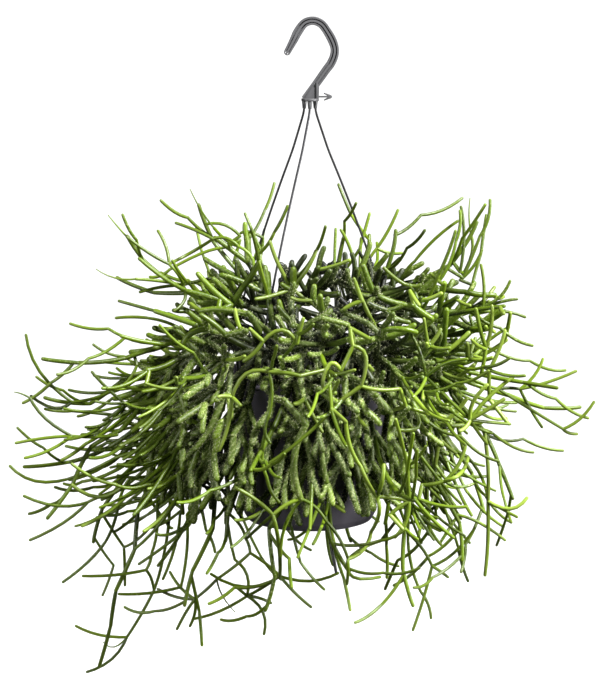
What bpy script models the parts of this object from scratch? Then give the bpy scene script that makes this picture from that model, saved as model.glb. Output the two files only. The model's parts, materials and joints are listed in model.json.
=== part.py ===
"""A mistletoe cactus in a hanging pot: hook, three hanger wires, pot, soil and rooted stems."""
import math
import random

import bmesh
import bpy
from mathutils import Matrix, Vector

# The origin is the seat of the hook, on the pot's axis. +Z is up and -Y is the side that faces the viewer.
# Every length is in metres.
GAP = 0.0003
# How far a cutter or a joined piece runs past the face that it meets.
OVERRUN = 0.001
ROUND_SIDES = 8

HOOK_THICKNESS = 0.0056
HOOK_HALF_WIDTH = 0.0035
HOOK_GROOVE_DEPTH = 0.0014
HOOK_GROOVE_INNER = 0.0006
HOOK_GROOVE_OUTER = 0.0025
HOOK_LINE = [
    (-0.0202, -0.0245),
    (-0.0154, -0.0150),
    (-0.0106, -0.0056),
    (-0.0045, 0.0018),
    (0.0030, 0.0041),
    (0.0099, 0.0011),
    (0.0146, -0.0048),
    (0.0195, -0.0129),
    (0.0219, -0.0207),
    (0.0215, -0.0272),
    (0.0187, -0.0343),
    (0.0143, -0.0400),
    (0.0055, -0.0512),
    (-0.0045, -0.0640),
]
HOOK_WEB = [(0.0030, -0.0500), (0.0080, -0.0550), (0.0076, -0.0665), (-0.0060, -0.0665)]
HOOK_WEB_THICKNESS = 0.0022
HOOK_UPRIGHT_THICKNESS = 0.0054
HOOK_UPRIGHT = [(0.0055, -0.0500), (0.0082, -0.0530), (0.0078, -0.0665), (0.0055, -0.0665)]
HOOK_BASE_TOP = -0.0642
HOOK_BASE_BOTTOM = -0.0683
HOOK_BASE_RADIUS = 0.0077
HOOK_BASE_SIDES = 20
BARB = [
    (0.0060, -0.0631),
    (0.0148, -0.0631),
    (0.0119, -0.0604),
    (0.0128, -0.0596),
    (0.0190, -0.0638),
    (0.0128, -0.0680),
    (0.0119, -0.0672),
    (0.0148, -0.0645),
    (0.0060, -0.0645),
]
BARB_THICKNESS = 0.0022
SLEEVE_BOTTOM = -0.0731
SLEEVE_TOP_RADIUS = 0.0025
SLEEVE_BOTTOM_RADIUS = 0.0021
SLEEVE_PLACES = {"front": (0.0, -0.0046), "left": (-0.0048, 0.0024), "right": (0.0048, 0.0024)}
SLEEVE_BORE_DEPTH = 0.0038

WIRE_RADIUS = 0.0010
WIRE_STRAIGHT = 0.0090
WIRE_STRAIGHT_ABOVE_EAR = 0.0100
WIRE_POINTS = 9
WIRE_BOW = 0.0040
WIRE_STOP_RADIUS = 0.0026
WIRE_STOP_HEIGHT = 0.0016

# Azimuths run from the viewer's side, -Y, positive towards +X.
EAR_AZIMUTHS = {"front": -33.0, "left": -118.0, "right": 86.0}
EAR_REACH = 0.0880
EAR_HOLE_REACH = 0.0825
EAR_HALF_WIDTH = 0.0060
EAR_THICKNESS = 0.0026
EAR_TOP = -0.3045

POT_TOP = -0.303
POT_BASE = -0.437
POT_WALL = 0.0018
POT_LIP_RADIUS = 0.0768
# The lip's section, from its inner side out: how far in from its edge and how far below its top.
POT_LIP = [(0.0046, 0.0016), (0.0036, 0.0), (0.0008, 0.0), (0.0, 0.0010), (0.0, 0.0065), (0.0036, 0.0065)]
POT_OUTER = [
    (0.0732, -0.3110),
    (0.0649, -0.3880),
    (0.0600, -0.4210),
    (0.0583, -0.4300),
    (0.0552, -0.4352),
    (0.0500, -0.4370),
]
POT_STEPS = 32
DRAIN_HOLES = 4
DRAIN_SIDES = 10
DRAIN_RADIUS = 0.0045
DRAIN_REACH = 0.034

SOIL_TOP = -0.315
SOIL_MOUND = 0.002
SOIL_SHOULDER_REACH = 0.6
SOIL_SHOULDER_HEIGHT = 0.8
SOIL_EDGE_GAP = 0.0004
ROOT_DEPTH = 0.010
ROOT_HOLE_SIDES = 6

# Stems are drawn with few sides, so their corners stand a little outside the real round section.
LEADER_SIDES = 4
LEADER_CORNER = 1.15
TWIG_SIDES = 3
TWIG_CORNER = 1.35
LEADER_FOOT_RADIUS = 0.0024
LEADER_TIP_RADIUS = 0.0016
COLLAR_HEIGHT = 0.006
THICK_TWIG_RADIUS = 0.0026
THIN_TWIG_RADIUS = 0.0014
TWIG_NECK = 0.75
BLUNT_TIP = 0.7
JOINT_LENGTH = 0.036
JOINT_WANDER = 0.006
BEND_LEAN = 0.15
BEND_SHIFT = 0.6
STEM_CLEARANCE = 0.0009
FOLIAGE_TOP = -0.150
THICK_TWIGS = 175
THIN_TWIGS = 36
BUD_OFFSET = 0.0040
TWIG_LEAN = (25, 70)
TWIG_FIRST_LENGTH = (0.028, 0.046)
TWIG_SECOND_LENGTH = (0.024, 0.042)
TWIG_SWAY = 0.45
# Twigs are drawn away from the plant's heart. Below this level thick ones also sink, and thin ones run level.
HANGING_LEVEL = -0.300
PLANT_HEART = Vector((0.0, 0.0, -0.335))
HEART_PULL = 0.60
HANGING_PULL = -0.30
LIFTING_PULL = 0.05
TWIG_PULL = 0.7
TWIG_START_ROOM = 0.003
OWN_PLANT_ROOM = 0.009
ROOT_TURN = 9.0
CURVE_STEPS = 80
# How far the plant reaches at heights as they are seen from the front: its mound and its longest stems to the
# left, then its mound and its longest stems to the right. Thick twigs end in the mound, and thin ones may end
# anywhere within the longest stems' reach.
REACHES = [
    (-0.147, 0.001, 0.125, 0.001, 0.165),
    (-0.169, 0.001, 0.176, 0.001, 0.165),
    (-0.192, 0.001, 0.178, 0.001, 0.163),
    (-0.204, 0.095, 0.180, 0.130, 0.168),
    (-0.245, 0.132, 0.175, 0.172, 0.190),
    (-0.272, 0.150, 0.240, 0.168, 0.195),
    (-0.303, 0.165, 0.240, 0.155, 0.235),
    (-0.334, 0.175, 0.258, 0.148, 0.252),
    (-0.370, 0.170, 0.262, 0.140, 0.235),
    (-0.405, 0.155, 0.258, 0.130, 0.190),
    (-0.437, 0.125, 0.250, 0.100, 0.190),
    (-0.468, 0.060, 0.235, 0.050, 0.170),
    (-0.503, 0.001, 0.205, 0.001, 0.130),
    (-0.530, 0.001, 0.190, 0.001, 0.050),
    (-0.550, 0.001, 0.185, 0.001, 0.010),
]
# How much higher a point is seen for each metre that it lies further back.
SEEN_RISE = 0.158
POT_SHOWS_BELOW = -0.405
POT_SHOWS_WITHIN = 0.128
# Twigs are set where few others stand, and more readily the further out in the mound they end.
FACE_FAVOUR = 1.5
TWIG_CHOICES = 14
TWIG_ATTEMPTS = 140
LEADER_ATTEMPTS = 400
ATTEMPT_SPREAD = 0.00025
CROWDING_CELLS = 2
SAMPLE = 0.0022
CELL = 0.012
SEED = 11

# Where each rooted stem ends, in groups that share a ring of roots in the soil.
TOP_TIPS = [
    (-0.158, -0.020, -0.182),
    (-0.098, 0.030, -0.160),
    (-0.045, -0.050, -0.190),
    (0.030, 0.020, -0.188),
    (0.074, -0.030, -0.176),
    (0.146, 0.000, -0.172),
    (0.055, 0.100, -0.195),
    (-0.055, 0.115, -0.195),
]
SIDE_TIPS = [
    (-0.232, -0.030, -0.288),
    (-0.238, 0.040, -0.335),
    (-0.252, -0.010, -0.388),
    (-0.175, 0.085, -0.232),
    (-0.160, -0.080, -0.260),
    (-0.105, -0.145, -0.285),
    (0.240, 0.010, -0.338),
    (0.213, -0.050, -0.310),
    (0.178, 0.080, -0.262),
    (0.165, -0.070, -0.236),
    (0.105, -0.155, -0.295),
    (0.020, -0.190, -0.275),
    (-0.048, -0.205, -0.350),
    (0.085, -0.180, -0.380),
    (0.125, 0.160, -0.285),
    (0.000, 0.205, -0.255),
    (-0.115, 0.170, -0.300),
    (0.060, 0.210, -0.350),
]
TRAIL_TIPS = [
    (-0.228, -0.050, -0.425),
    (-0.196, 0.040, -0.468),
    (-0.188, -0.010, -0.570),
    (-0.108, -0.080, -0.495),
    (-0.038, -0.115, -0.490),
    (0.178, -0.030, -0.412),
    (0.158, 0.040, -0.440),
    (0.132, -0.060, -0.460),
    (0.088, -0.100, -0.490),
    (0.033, -0.120, -0.455),
    (-0.150, 0.120, -0.450),
    (-0.065, 0.165, -0.475),
    (0.040, 0.155, -0.495),
    (0.120, 0.120, -0.455),
]
SKIRT_TIPS = [
    (-0.112, -0.010, -0.430),
    (-0.098, -0.060, -0.412),
    (-0.072, -0.088, -0.436),
    (-0.018, -0.108, -0.418),
    (0.020, -0.112, -0.432),
    (0.064, -0.092, -0.420),
    (0.104, -0.048, -0.440),
    (0.112, 0.020, -0.424),
    (0.080, 0.078, -0.440),
    (0.020, 0.112, -0.420),
    (-0.046, 0.104, -0.440),
    (-0.098, 0.056, -0.418),
]
# Each group's name, tips, ring of roots, rise from the soil, then its shoulder: how far out towards the tip
# it stands, how far below the tip it may lie, and its lowest level.
STEM_GROUPS = [
    ("top", TOP_TIPS, 0.019, 0.075, 0.80, 0.070, -0.260),
    ("side", SIDE_TIPS, 0.038, 0.085, 0.62, 0.020, -0.410),
    ("trail", TRAIL_TIPS, 0.062, 0.078, 0.35, 0.0, -0.258),
    ("skirt", SKIRT_TIPS, 0.0505, 0.055, 1.05, 0.0, -0.265),
]


def empty_scene():
    """Remove what the scene holds."""
    for thing in list(bpy.data.objects):
        bpy.data.objects.remove(thing, do_unlink=True)


def new_collection(name):
    collection = bpy.data.collections.new(name)
    bpy.context.scene.collection.children.link(collection)
    return collection


def make_material(name, colour, roughness):
    material = bpy.data.materials.new(name)
    material.use_nodes = True
    shader = material.node_tree.nodes["Principled BSDF"]
    shader.inputs["Base Color"].default_value = (*colour, 1.0)
    shader.inputs["Roughness"].default_value = roughness
    shader.inputs["Metallic"].default_value = 0.0
    return material


def evaluated_mesh(thing):
    """The mesh that an object's modifiers or its curve give, in the object's own space."""
    graph = bpy.context.evaluated_depsgraph_get()
    return bpy.data.meshes.new_from_object(thing.evaluated_get(graph))


def curve_to_mesh(curve_object):
    """Turn a curve object into a mesh object with its caps welded on."""
    mesh = evaluated_mesh(curve_object)
    shape = bmesh.new()
    shape.from_mesh(mesh)
    bmesh.ops.remove_doubles(shape, verts=shape.verts, dist=0.000001)
    shape.to_mesh(mesh)
    shape.free()
    thing = bpy.data.objects.new(curve_object.name, mesh)
    thing.matrix_world = curve_object.matrix_world
    bpy.data.objects.remove(curve_object)
    return thing


def tube(name, points, radii, sides):
    """A bar along a line of points, with its own radius at each point and closed ends."""
    curve = bpy.data.curves.new(name, "CURVE")
    curve.dimensions = "3D"
    section = None
    if sides == 3:
        section = three_corners()
        curve.bevel_mode = "OBJECT"
        curve.bevel_object = section
    else:
        curve.bevel_depth = 1.0
        curve.bevel_resolution = (sides - 4) // 2
    curve.use_fill_caps = True
    spline = curve.splines.new("POLY")
    spline.points.add(len(points) - 1)
    for spot, place, radius in zip(spline.points, points, radii):
        spot.co = (*place, 1.0)
        spot.radius = radius
    thing = bpy.data.objects.new(name, curve)
    bpy.context.scene.collection.objects.link(thing)
    solid = curve_to_mesh(thing)
    if section:
        bpy.data.objects.remove(section)
    return solid


def three_corners():
    """The section of a three-sided bar, with corners one metre out, to be scaled by the bar's radius."""
    curve = bpy.data.curves.new("section", "CURVE")
    curve.dimensions = "2D"
    spline = curve.splines.new("POLY")
    spline.points.add(2)
    for index, spot in enumerate(spline.points):
        angle = -math.tau * index / 3
        spot.co = (math.cos(angle), math.sin(angle), 0.0, 1.0)
    spline.use_cyclic_u = True
    section = bpy.data.objects.new("section", curve)
    bpy.context.scene.collection.objects.link(section)
    return section


def plate(name, outline, thickness):
    """A flat piece that stands in the XZ plane, from the corners of its outline."""
    curve = bpy.data.curves.new(name, "CURVE")
    curve.dimensions = "2D"
    curve.fill_mode = "BOTH"
    curve.extrude = thickness / 2
    spline = curve.splines.new("POLY")
    spline.points.add(len(outline) - 1)
    for spot, place in zip(spline.points, outline):
        spot.co = (place[0], place[1], 0.0, 1.0)
    spline.use_cyclic_u = True
    thing = bpy.data.objects.new(name, curve)
    bpy.context.scene.collection.objects.link(thing)
    upright = curve_to_mesh(thing)
    upright.data.transform(Matrix.Rotation(math.radians(90), 4, "X"))
    return upright


def turned(name, profile, steps):
    """A solid of revolution about Z. The profile ends on the axis and runs down its outer side."""
    mesh = bpy.data.meshes.new(name)
    shape = bmesh.new()
    spots = [shape.verts.new((radius, 0.0, height)) for radius, height in profile]
    for first, second in zip(spots, spots[1:]):
        shape.edges.new((first, second))
    shape.to_mesh(mesh)
    shape.free()
    thing = bpy.data.objects.new(name, mesh)
    bpy.context.scene.collection.objects.link(thing)
    screw = thing.modifiers.new("turn", "SCREW")
    screw.steps = steps
    screw.render_steps = steps
    screw.use_merge_vertices = True
    screw.merge_threshold = 0.00001
    return finished(thing)


def cylinder(name, radius, bottom, top, place, sides, top_radius=None):
    """An upright cylinder or cone between two heights."""
    shape = bmesh.new()
    bmesh.ops.create_cone(
        shape,
        cap_ends=True,
        segments=sides,
        radius1=radius,
        radius2=radius if top_radius is None else top_radius,
        depth=top - bottom,
    )
    bmesh.ops.translate(shape, verts=shape.verts, vec=(place[0], place[1], (top + bottom) / 2))
    mesh = bpy.data.meshes.new(name)
    shape.to_mesh(mesh)
    shape.free()
    return bpy.data.objects.new(name, mesh)


def finished(thing):
    """Replace an object by one that has its modifiers applied."""
    mesh = evaluated_mesh(thing)
    name = thing.name
    bpy.data.objects.remove(thing)
    result = bpy.data.objects.new(name, mesh)
    return result


def combine(thing, others, operation):
    """Join others to a mesh object, or cut them from it, with one Boolean on a collection."""
    if not others:
        return thing
    name = thing.name
    bpy.context.scene.collection.objects.link(thing)
    group = new_collection(name + "_pieces")
    for other in others:
        group.objects.link(other)
    boolean = thing.modifiers.new("combine", "BOOLEAN")
    boolean.operation = operation
    boolean.operand_type = "COLLECTION"
    boolean.collection = group
    boolean.solver = "EXACT"
    result = finished(thing)
    for other in others:
        bpy.data.objects.remove(other)
    bpy.data.collections.remove(group)
    result.name = name
    return result


def keep(thing, name, material, collection, smooth_angle=None):
    """Name a finished piece, give it its material and put it in the object's collection."""
    thing.name = name
    thing.data.name = name
    thing.data.materials.clear()
    thing.data.materials.append(material)
    if smooth_angle:
        thing.data.shade_smooth()
        thing.data.set_sharp_from_angle(angle=math.radians(smooth_angle))
    collection.objects.link(thing)


def around(azimuth, reach, height):
    """The point at an azimuth in degrees from the viewer's side, a reach from the axis and a height."""
    angle = math.radians(azimuth)
    return Vector((reach * math.sin(angle), -reach * math.cos(angle), height))


def smooth_line(points, per_span):
    """A Catmull-Rom line through 2D points."""
    line = []
    last = len(points) - 1
    for index in range(last):
        before = Vector(points[max(index - 1, 0)])
        start = Vector(points[index])
        end = Vector(points[index + 1])
        after = Vector(points[min(index + 2, last)])
        for step in range(per_span):
            t = step / per_span
            line.append(
                0.5
                * (
                    2 * start
                    + (end - before) * t
                    + (2 * before - 5 * start + 4 * end - after) * t * t
                    + (3 * start - before - 3 * end + after) * t * t * t
                )
            )
    line.append(Vector(points[last]))
    return line


def band(line, low, high):
    """The closed outline of a strip that runs along a 2D line between two offsets from it."""
    left = []
    right = []
    for index, point in enumerate(line):
        ahead = line[min(index + 1, len(line) - 1)]
        behind = line[max(index - 1, 0)]
        along = (ahead - behind).normalized()
        side = Vector((-along.y, along.x))
        left.append(point + side * high)
        right.append(point + side * low)
    return left + right[::-1]


def make_hook(material, collection):
    """The ribbed strip, its web and upright, the base plate with three sleeves, and the barb."""
    line = smooth_line(HOOK_LINE, 2)
    hook = plate("hook", band(line, -HOOK_HALF_WIDTH, HOOK_HALF_WIDTH), HOOK_THICKNESS)
    additions = [
        plate("web", HOOK_WEB, HOOK_WEB_THICKNESS),
        plate("upright", HOOK_UPRIGHT, HOOK_UPRIGHT_THICKNESS),
        plate("barb", BARB, BARB_THICKNESS),
        cylinder("base", HOOK_BASE_RADIUS, HOOK_BASE_BOTTOM, HOOK_BASE_TOP, (0.0, 0.0), HOOK_BASE_SIDES),
    ]
    bores = []
    for place in SLEEVE_PLACES.values():
        sleeve_top = HOOK_BASE_BOTTOM + OVERRUN
        additions.append(
            cylinder(
                "sleeve",
                SLEEVE_BOTTOM_RADIUS,
                SLEEVE_BOTTOM,
                sleeve_top,
                place,
                ROUND_SIDES,
                SLEEVE_TOP_RADIUS,
            )
        )
        bore_bottom = SLEEVE_BOTTOM - OVERRUN
        bore_top = SLEEVE_BOTTOM + SLEEVE_BORE_DEPTH
        radius = bore_radius(WIRE_RADIUS, ROUND_SIDES)
        bores.append(cylinder("bore", radius, bore_bottom, bore_top, place, ROUND_SIDES))
    hook = combine(hook, additions, "UNION")
    grooves = []
    inside = line[1:-6]
    for face in (-1, 1):
        for low, high in (
            (HOOK_GROOVE_INNER, HOOK_GROOVE_OUTER),
            (-HOOK_GROOVE_OUTER, -HOOK_GROOVE_INNER),
        ):
            groove = plate("groove", band(inside, low, high), 2 * HOOK_GROOVE_DEPTH)
            groove.data.transform(Matrix.Translation((0.0, face * HOOK_THICKNESS / 2, 0.0)))
            grooves.append(groove)
    hook = combine(hook, grooves + bores, "DIFFERENCE")
    keep(hook, "hook", material, collection, 30)


def bore_radius(radius, sides):
    """The corner radius of a hole whose flats clear a round bar by the gap."""
    return (radius + GAP) / math.cos(math.pi / sides)


def wire_route(side):
    """The points of one hanger wire, from inside its sleeve to below its ear."""
    x, y = SLEEVE_PLACES[side]
    bottom = around(EAR_AZIMUTHS[side], EAR_HOLE_REACH, EAR_TOP)
    start = Vector((x, y, SLEEVE_BOTTOM - WIRE_STRAIGHT))
    end = bottom + Vector((0.0, 0.0, WIRE_STRAIGHT_ABOVE_EAR))
    outward = Vector((bottom.x, bottom.y, 0.0)).normalized()
    points = [
        Vector((x, y, SLEEVE_BOTTOM + SLEEVE_BORE_DEPTH - GAP)),
        Vector((x, y, SLEEVE_BOTTOM - 2 * OVERRUN)),
    ]
    for step in range(WIRE_POINTS):
        t = step / (WIRE_POINTS - 1)
        bow = WIRE_BOW * math.sin(math.pi * t)
        points.append(start.lerp(end, t) + outward * bow)
    points.append(bottom + Vector((0.0, 0.0, 4 * OVERRUN)))
    points.append(bottom - Vector((0.0, 0.0, EAR_THICKNESS + GAP + WIRE_STOP_HEIGHT / 2)))
    return points


def make_wires(material, collection):
    """Three hanger wires, each with a stop below its ear."""
    for side in EAR_AZIMUTHS:
        route = wire_route(side)
        wire = tube("wire", route, [WIRE_RADIUS] * len(route), ROUND_SIDES)
        foot = route[-1]
        top = EAR_TOP - EAR_THICKNESS - GAP
        stop = cylinder("stop", WIRE_STOP_RADIUS, top - WIRE_STOP_HEIGHT, top, foot, ROUND_SIDES)
        wire = combine(wire, [stop], "UNION")
        keep(wire, "hanger_wire_" + side, material, collection, 50)


def pot_profile():
    """The wall's section, from the middle of the inner floor over the lip to the middle of the base."""
    lip = [(POT_LIP_RADIUS - inwards, POT_TOP - below) for inwards, below in POT_LIP]
    return inner_profile(0.0) + lip + POT_OUTER + [(0.0, POT_BASE)]


def inner_profile(inset):
    """The pot's inner side, bottom to top, moved inwards by an inset."""
    side = [(radius - POT_WALL - inset, height) for radius, height in reversed(POT_OUTER[:4])]
    floor = POT_BASE + POT_WALL + inset
    corner = [(0.0, floor), (POT_OUTER[-1][0] - POT_WALL, floor)]
    corner.append((POT_OUTER[-2][0] - POT_WALL - inset, POT_OUTER[-2][1] + POT_WALL / 2 + inset))
    return corner + side


def make_pot(material, collection):
    """The turned pot with an ear for each wire and drain holes in its base."""
    pot = turned("pot", pot_profile(), POT_STEPS)
    ears = []
    cutters = []
    for side, azimuth in EAR_AZIMUTHS.items():
        ears.append(ear(azimuth))
        place = around(azimuth, EAR_HOLE_REACH, EAR_TOP)
        low = EAR_TOP - EAR_THICKNESS - OVERRUN
        radius = bore_radius(WIRE_RADIUS, ROUND_SIDES)
        cutters.append(cylinder("ear_hole", radius, low, EAR_TOP + OVERRUN, place, ROUND_SIDES))
    for index in range(DRAIN_HOLES):
        place = around(45 + 360 * index / DRAIN_HOLES, DRAIN_REACH, 0.0)
        high = POT_BASE + POT_WALL + OVERRUN
        cutters.append(cylinder("drain", DRAIN_RADIUS, POT_BASE - OVERRUN, high, place, DRAIN_SIDES))
    pot = combine(pot, ears, "UNION")
    pot = combine(pot, cutters, "DIFFERENCE")
    keep(pot, "pot", material, collection, 35)


def ear(azimuth):
    """A flat ear with a round end, standing out from the lip."""
    inner = POT_LIP_RADIUS - OVERRUN
    middle = EAR_REACH - EAR_HALF_WIDTH
    outline = [(inner, -EAR_HALF_WIDTH)]
    for step in range(7):
        angle = math.radians(-90 + 30 * step)
        outline.append((middle + EAR_HALF_WIDTH * math.cos(angle), EAR_HALF_WIDTH * math.sin(angle)))
    outline.append((inner, EAR_HALF_WIDTH))
    tab = plate("ear", outline, EAR_THICKNESS)
    flat = Matrix.Rotation(math.radians(-90), 4, "X")
    turn = Matrix.Rotation(math.radians(azimuth - 90), 4, "Z")
    lift = Matrix.Translation((0.0, 0.0, EAR_TOP - EAR_THICKNESS / 2))
    tab.data.transform(lift @ turn @ flat)
    return tab


def make_soil(roots, material, collection):
    """The potting mix, with a plain hole for each root."""
    side = [point for point in inner_profile(GAP) if point[1] < SOIL_TOP]
    edge = (wall_radius(SOIL_TOP) - POT_WALL - SOIL_EDGE_GAP, SOIL_TOP)
    middle = (0.0, SOIL_TOP + SOIL_MOUND)
    shoulder = (edge[0] * SOIL_SHOULDER_REACH, SOIL_TOP + SOIL_MOUND * SOIL_SHOULDER_HEIGHT)
    soil = turned("soil", [middle, shoulder, edge] + side[::-1], POT_STEPS)
    holes = []
    for place in roots:
        low = SOIL_TOP - ROOT_DEPTH - GAP
        high = SOIL_TOP + SOIL_MOUND + OVERRUN
        radius = bore_radius(LEADER_FOOT_RADIUS * LEADER_CORNER, ROOT_HOLE_SIDES)
        holes.append(cylinder("root_hole", radius, low, high, place, ROOT_HOLE_SIDES))
    soil = combine(soil, holes, "DIFFERENCE")
    keep(soil, "soil", material, collection)


def wall_radius(height):
    """The pot's outer radius at a height."""
    if height >= POT_OUTER[0][1]:
        return POT_LIP_RADIUS
    for (high_radius, high), (low_radius, low) in zip(POT_OUTER, POT_OUTER[1:]):
        if low <= height <= high:
            t = (height - low) / (high - low)
            return low_radius + (high_radius - low_radius) * t
    return POT_OUTER[-1][0]


def clear_of_pot(point, radius):
    """Whether a ball of this radius stays off the pot, the soil and the space under the base."""
    reach = math.hypot(point.x, point.y)
    room = radius + STEM_CLEARANCE
    if point.z > POT_TOP + room:
        return True
    if point.z < POT_BASE - room:
        return reach > POT_OUTER[-1][0] + 2 * room
    outer = wall_radius(point.z)
    if reach > outer + room:
        return True
    inner = min(outer - POT_WALL, POT_LIP_RADIUS - POT_LIP[0][0])
    return reach < inner - room and point.z > SOIL_TOP + SOIL_MOUND + room


class Space:
    """The balls that stand for everything already placed, sorted into cells of a grid."""

    def __init__(self):
        self.cells = {}

    def cell(self, point):
        return (math.floor(point.x / CELL), math.floor(point.y / CELL), math.floor(point.z / CELL))

    def add(self, owner, points, radii):
        for point, radius in beads(points, radii):
            self.cells.setdefault(self.cell(point), []).append((point, radius, owner))

    def crowding(self, point):
        """How many balls lie in the cells round a point."""
        cx, cy, cz = self.cell(point)
        steps = range(-CROWDING_CELLS, CROWDING_CELLS + 1)
        near = [(cx + x, cy + y, cz + z) for x in steps for y in steps for z in steps]
        return sum(len(self.cells.get(cell, ())) for cell in near)

    def free(self, owner, points, radii, joint_room, pot_room):
        """Whether a run of stem is clear. Near its start it may touch its own plant, or stand in the soil."""
        start = points[0]
        for point, radius in beads(points, radii):
            from_start = (point - start).length
            if from_start > pot_room and not clear_of_pot(point, radius):
                return False
            cx, cy, cz = self.cell(point)
            for x in (cx - 1, cx, cx + 1):
                for y in (cy - 1, cy, cy + 1):
                    for z in (cz - 1, cz, cz + 1):
                        for other, other_radius, other_owner in self.cells.get((x, y, z), ()):
                            if (point - other).length > radius + other_radius + STEM_CLEARANCE:
                                continue
                            if other_owner != owner:
                                return False
                            if from_start > joint_room and (other - start).length > joint_room:
                                return False
        return True


def beads(points, radii):
    """Closely spaced balls along a line of points."""
    for (start, end), (first, last) in zip(zip(points, points[1:]), zip(radii, radii[1:])):
        count = max(1, math.ceil((end - start).length / SAMPLE))
        for step in range(count + 1):
            t = step / count
            yield start.lerp(end, t), first + (last - first) * t


def bezier(corners, t):
    """A point of a cubic curve."""
    a, b, c, d = corners
    u = 1 - t
    return a * u**3 + b * 3 * u * u * t + c * 3 * u * t * t + d * t**3


def even_line(corners, count):
    """Points at even distances along a cubic curve."""
    fine = [bezier(corners, step / CURVE_STEPS) for step in range(CURVE_STEPS + 1)]
    lengths = [0.0]
    for first, second in zip(fine, fine[1:]):
        lengths.append(lengths[-1] + (second - first).length)
    line = []
    at = 0
    for step in range(count + 1):
        wanted = lengths[-1] * step / count
        while at < CURVE_STEPS - 1 and lengths[at + 1] < wanted:
            at += 1
        t = (wanted - lengths[at]) / max(lengths[at + 1] - lengths[at], 0.000001)
        line.append(fine[at].lerp(fine[at + 1], min(t, 1.0)))
    return line, lengths[-1]


def azimuth_of(tip):
    return math.degrees(math.atan2(tip[0], -tip[1]))


def root_places(tips, ring, offset):
    """Root places spread evenly on a ring, in the order of the tips' azimuths."""
    order = sorted(range(len(tips)), key=lambda index: azimuth_of(tips[index]))
    step = 360 / len(tips)
    shift = sum(azimuth_of(tips[index]) - step * rank for rank, index in enumerate(order)) / len(tips)
    places = [None] * len(tips)
    for rank, index in enumerate(order):
        places[index] = around(shift + offset + step * rank, ring, SOIL_TOP)
    return places


def leading_line(root, tip, group, draw, attempt):
    """A stem's leading shoot, joint by joint, from the foot of its root to its tip."""
    rise, outwards, below, level = group[3:]
    low = root + Vector((0.0, 0.0, COLLAR_HEIGHT))
    flat_root = Vector((root.x, root.y, 0.0))
    flat_tip = Vector((tip.x, tip.y, 0.0))
    shoulder = flat_root.lerp(flat_tip, outwards)
    shoulder.z = max(level, tip.z - below)
    spread = ATTEMPT_SPREAD * attempt
    shift = Vector((draw.uniform(-spread, spread), draw.uniform(-spread, spread), draw.uniform(0, spread)))
    bend = low + Vector((0.0, 0.0, rise)) + flat_root * BEND_LEAN + shift * BEND_SHIFT
    corners = [low, bend, shoulder + shift, tip]
    joints = max(2, round(even_line(corners, 2)[1] / JOINT_LENGTH))
    line, _ = even_line(corners, joints)
    for index in range(1, len(line) - 1):
        line[index] += Vector([draw.uniform(-JOINT_WANDER, JOINT_WANDER) for _ in range(3)])
        line[index].z = min(line[index].z, FOLIAGE_TOP)
    return [root - Vector((0.0, 0.0, ROOT_DEPTH))] + line


def leading_radii(count):
    """The radius at each joint of a leading shoot: even in the soil, then thinner, with a blunt tip."""
    radii = []
    for index in range(count):
        t = max(0, index - 2) / (count - 3)
        radii.append((LEADER_FOOT_RADIUS + (LEADER_TIP_RADIUS - LEADER_FOOT_RADIUS) * t) * LEADER_CORNER)
    radii[-1] *= BLUNT_TIP
    return radii


def grow_leaders(space, draw):
    """Find a free way for every stem's leading shoot."""
    stems = []
    for order, group in enumerate(STEM_GROUPS):
        kind, tips, ring = group[:3]
        for number, (root, tip) in enumerate(zip(root_places(tips, ring, ROOT_TURN * order), tips), 1):
            name = f"stem_{kind}_{number:02d}"
            for attempt in range(LEADER_ATTEMPTS):
                line = leading_line(root, Vector(tip), group, draw, attempt)
                radii = leading_radii(len(line))
                if space.free(name, line, radii, 0.0, ROOT_DEPTH + COLLAR_HEIGHT):
                    break
            else:
                print("no way for", name)
                continue
            space.add(name, line, radii)
            stems.append({"name": name, "root": root, "leader": (line, radii), "twigs": []})
    return stems


def leader_buds(stem):
    """The joints of a leading shoot where twigs may grow, from the second joint above the soil out."""
    line, _ = stem["leader"]
    buds = []
    for index in range(3, len(line) - 1):
        along = (line[index + 1] - line[index]).normalized()
        buds.append((stem, line[index] + along * BUD_OFFSET, along))
    along = (line[-1] - line[-2]).normalized()
    buds.append((stem, line[-1] - along * BUD_OFFSET, along))
    return buds


def pull_at(place, thick):
    """The direction in which a twig that starts here is drawn."""
    away = (place - PLANT_HEART).normalized() * HEART_PULL
    if place.z < HANGING_LEVEL and thick:
        away.z += HANGING_PULL
    if place.z < HANGING_LEVEL and not thick:
        away.z = LIFTING_PULL
    return away


def twig_line(bud, thick, draw):
    """A twig of two lengths with a knee between them, which starts inside what it grows from."""
    _, place, along = bud
    lean = math.radians(draw.uniform(*TWIG_LEAN))
    across = along.orthogonal().normalized()
    across.rotate(Matrix.Rotation(draw.uniform(0, math.tau), 3, along))
    heading = along * math.cos(lean) + across * math.sin(lean)
    pull = pull_at(place, thick)
    heading = (heading + pull * TWIG_PULL).normalized()
    knee = place + heading * draw.uniform(*TWIG_FIRST_LENGTH)
    sway = Vector([draw.uniform(-TWIG_SWAY, TWIG_SWAY) for _ in range(3)])
    heading = (heading + pull * TWIG_PULL + sway).normalized()
    tip = knee + heading * draw.uniform(*TWIG_SECOND_LENGTH)
    return [place, knee, tip], heading


def seen_height(point):
    """The height at which a point is seen from the front."""
    return point.z + SEEN_RISE * point.y


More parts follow.
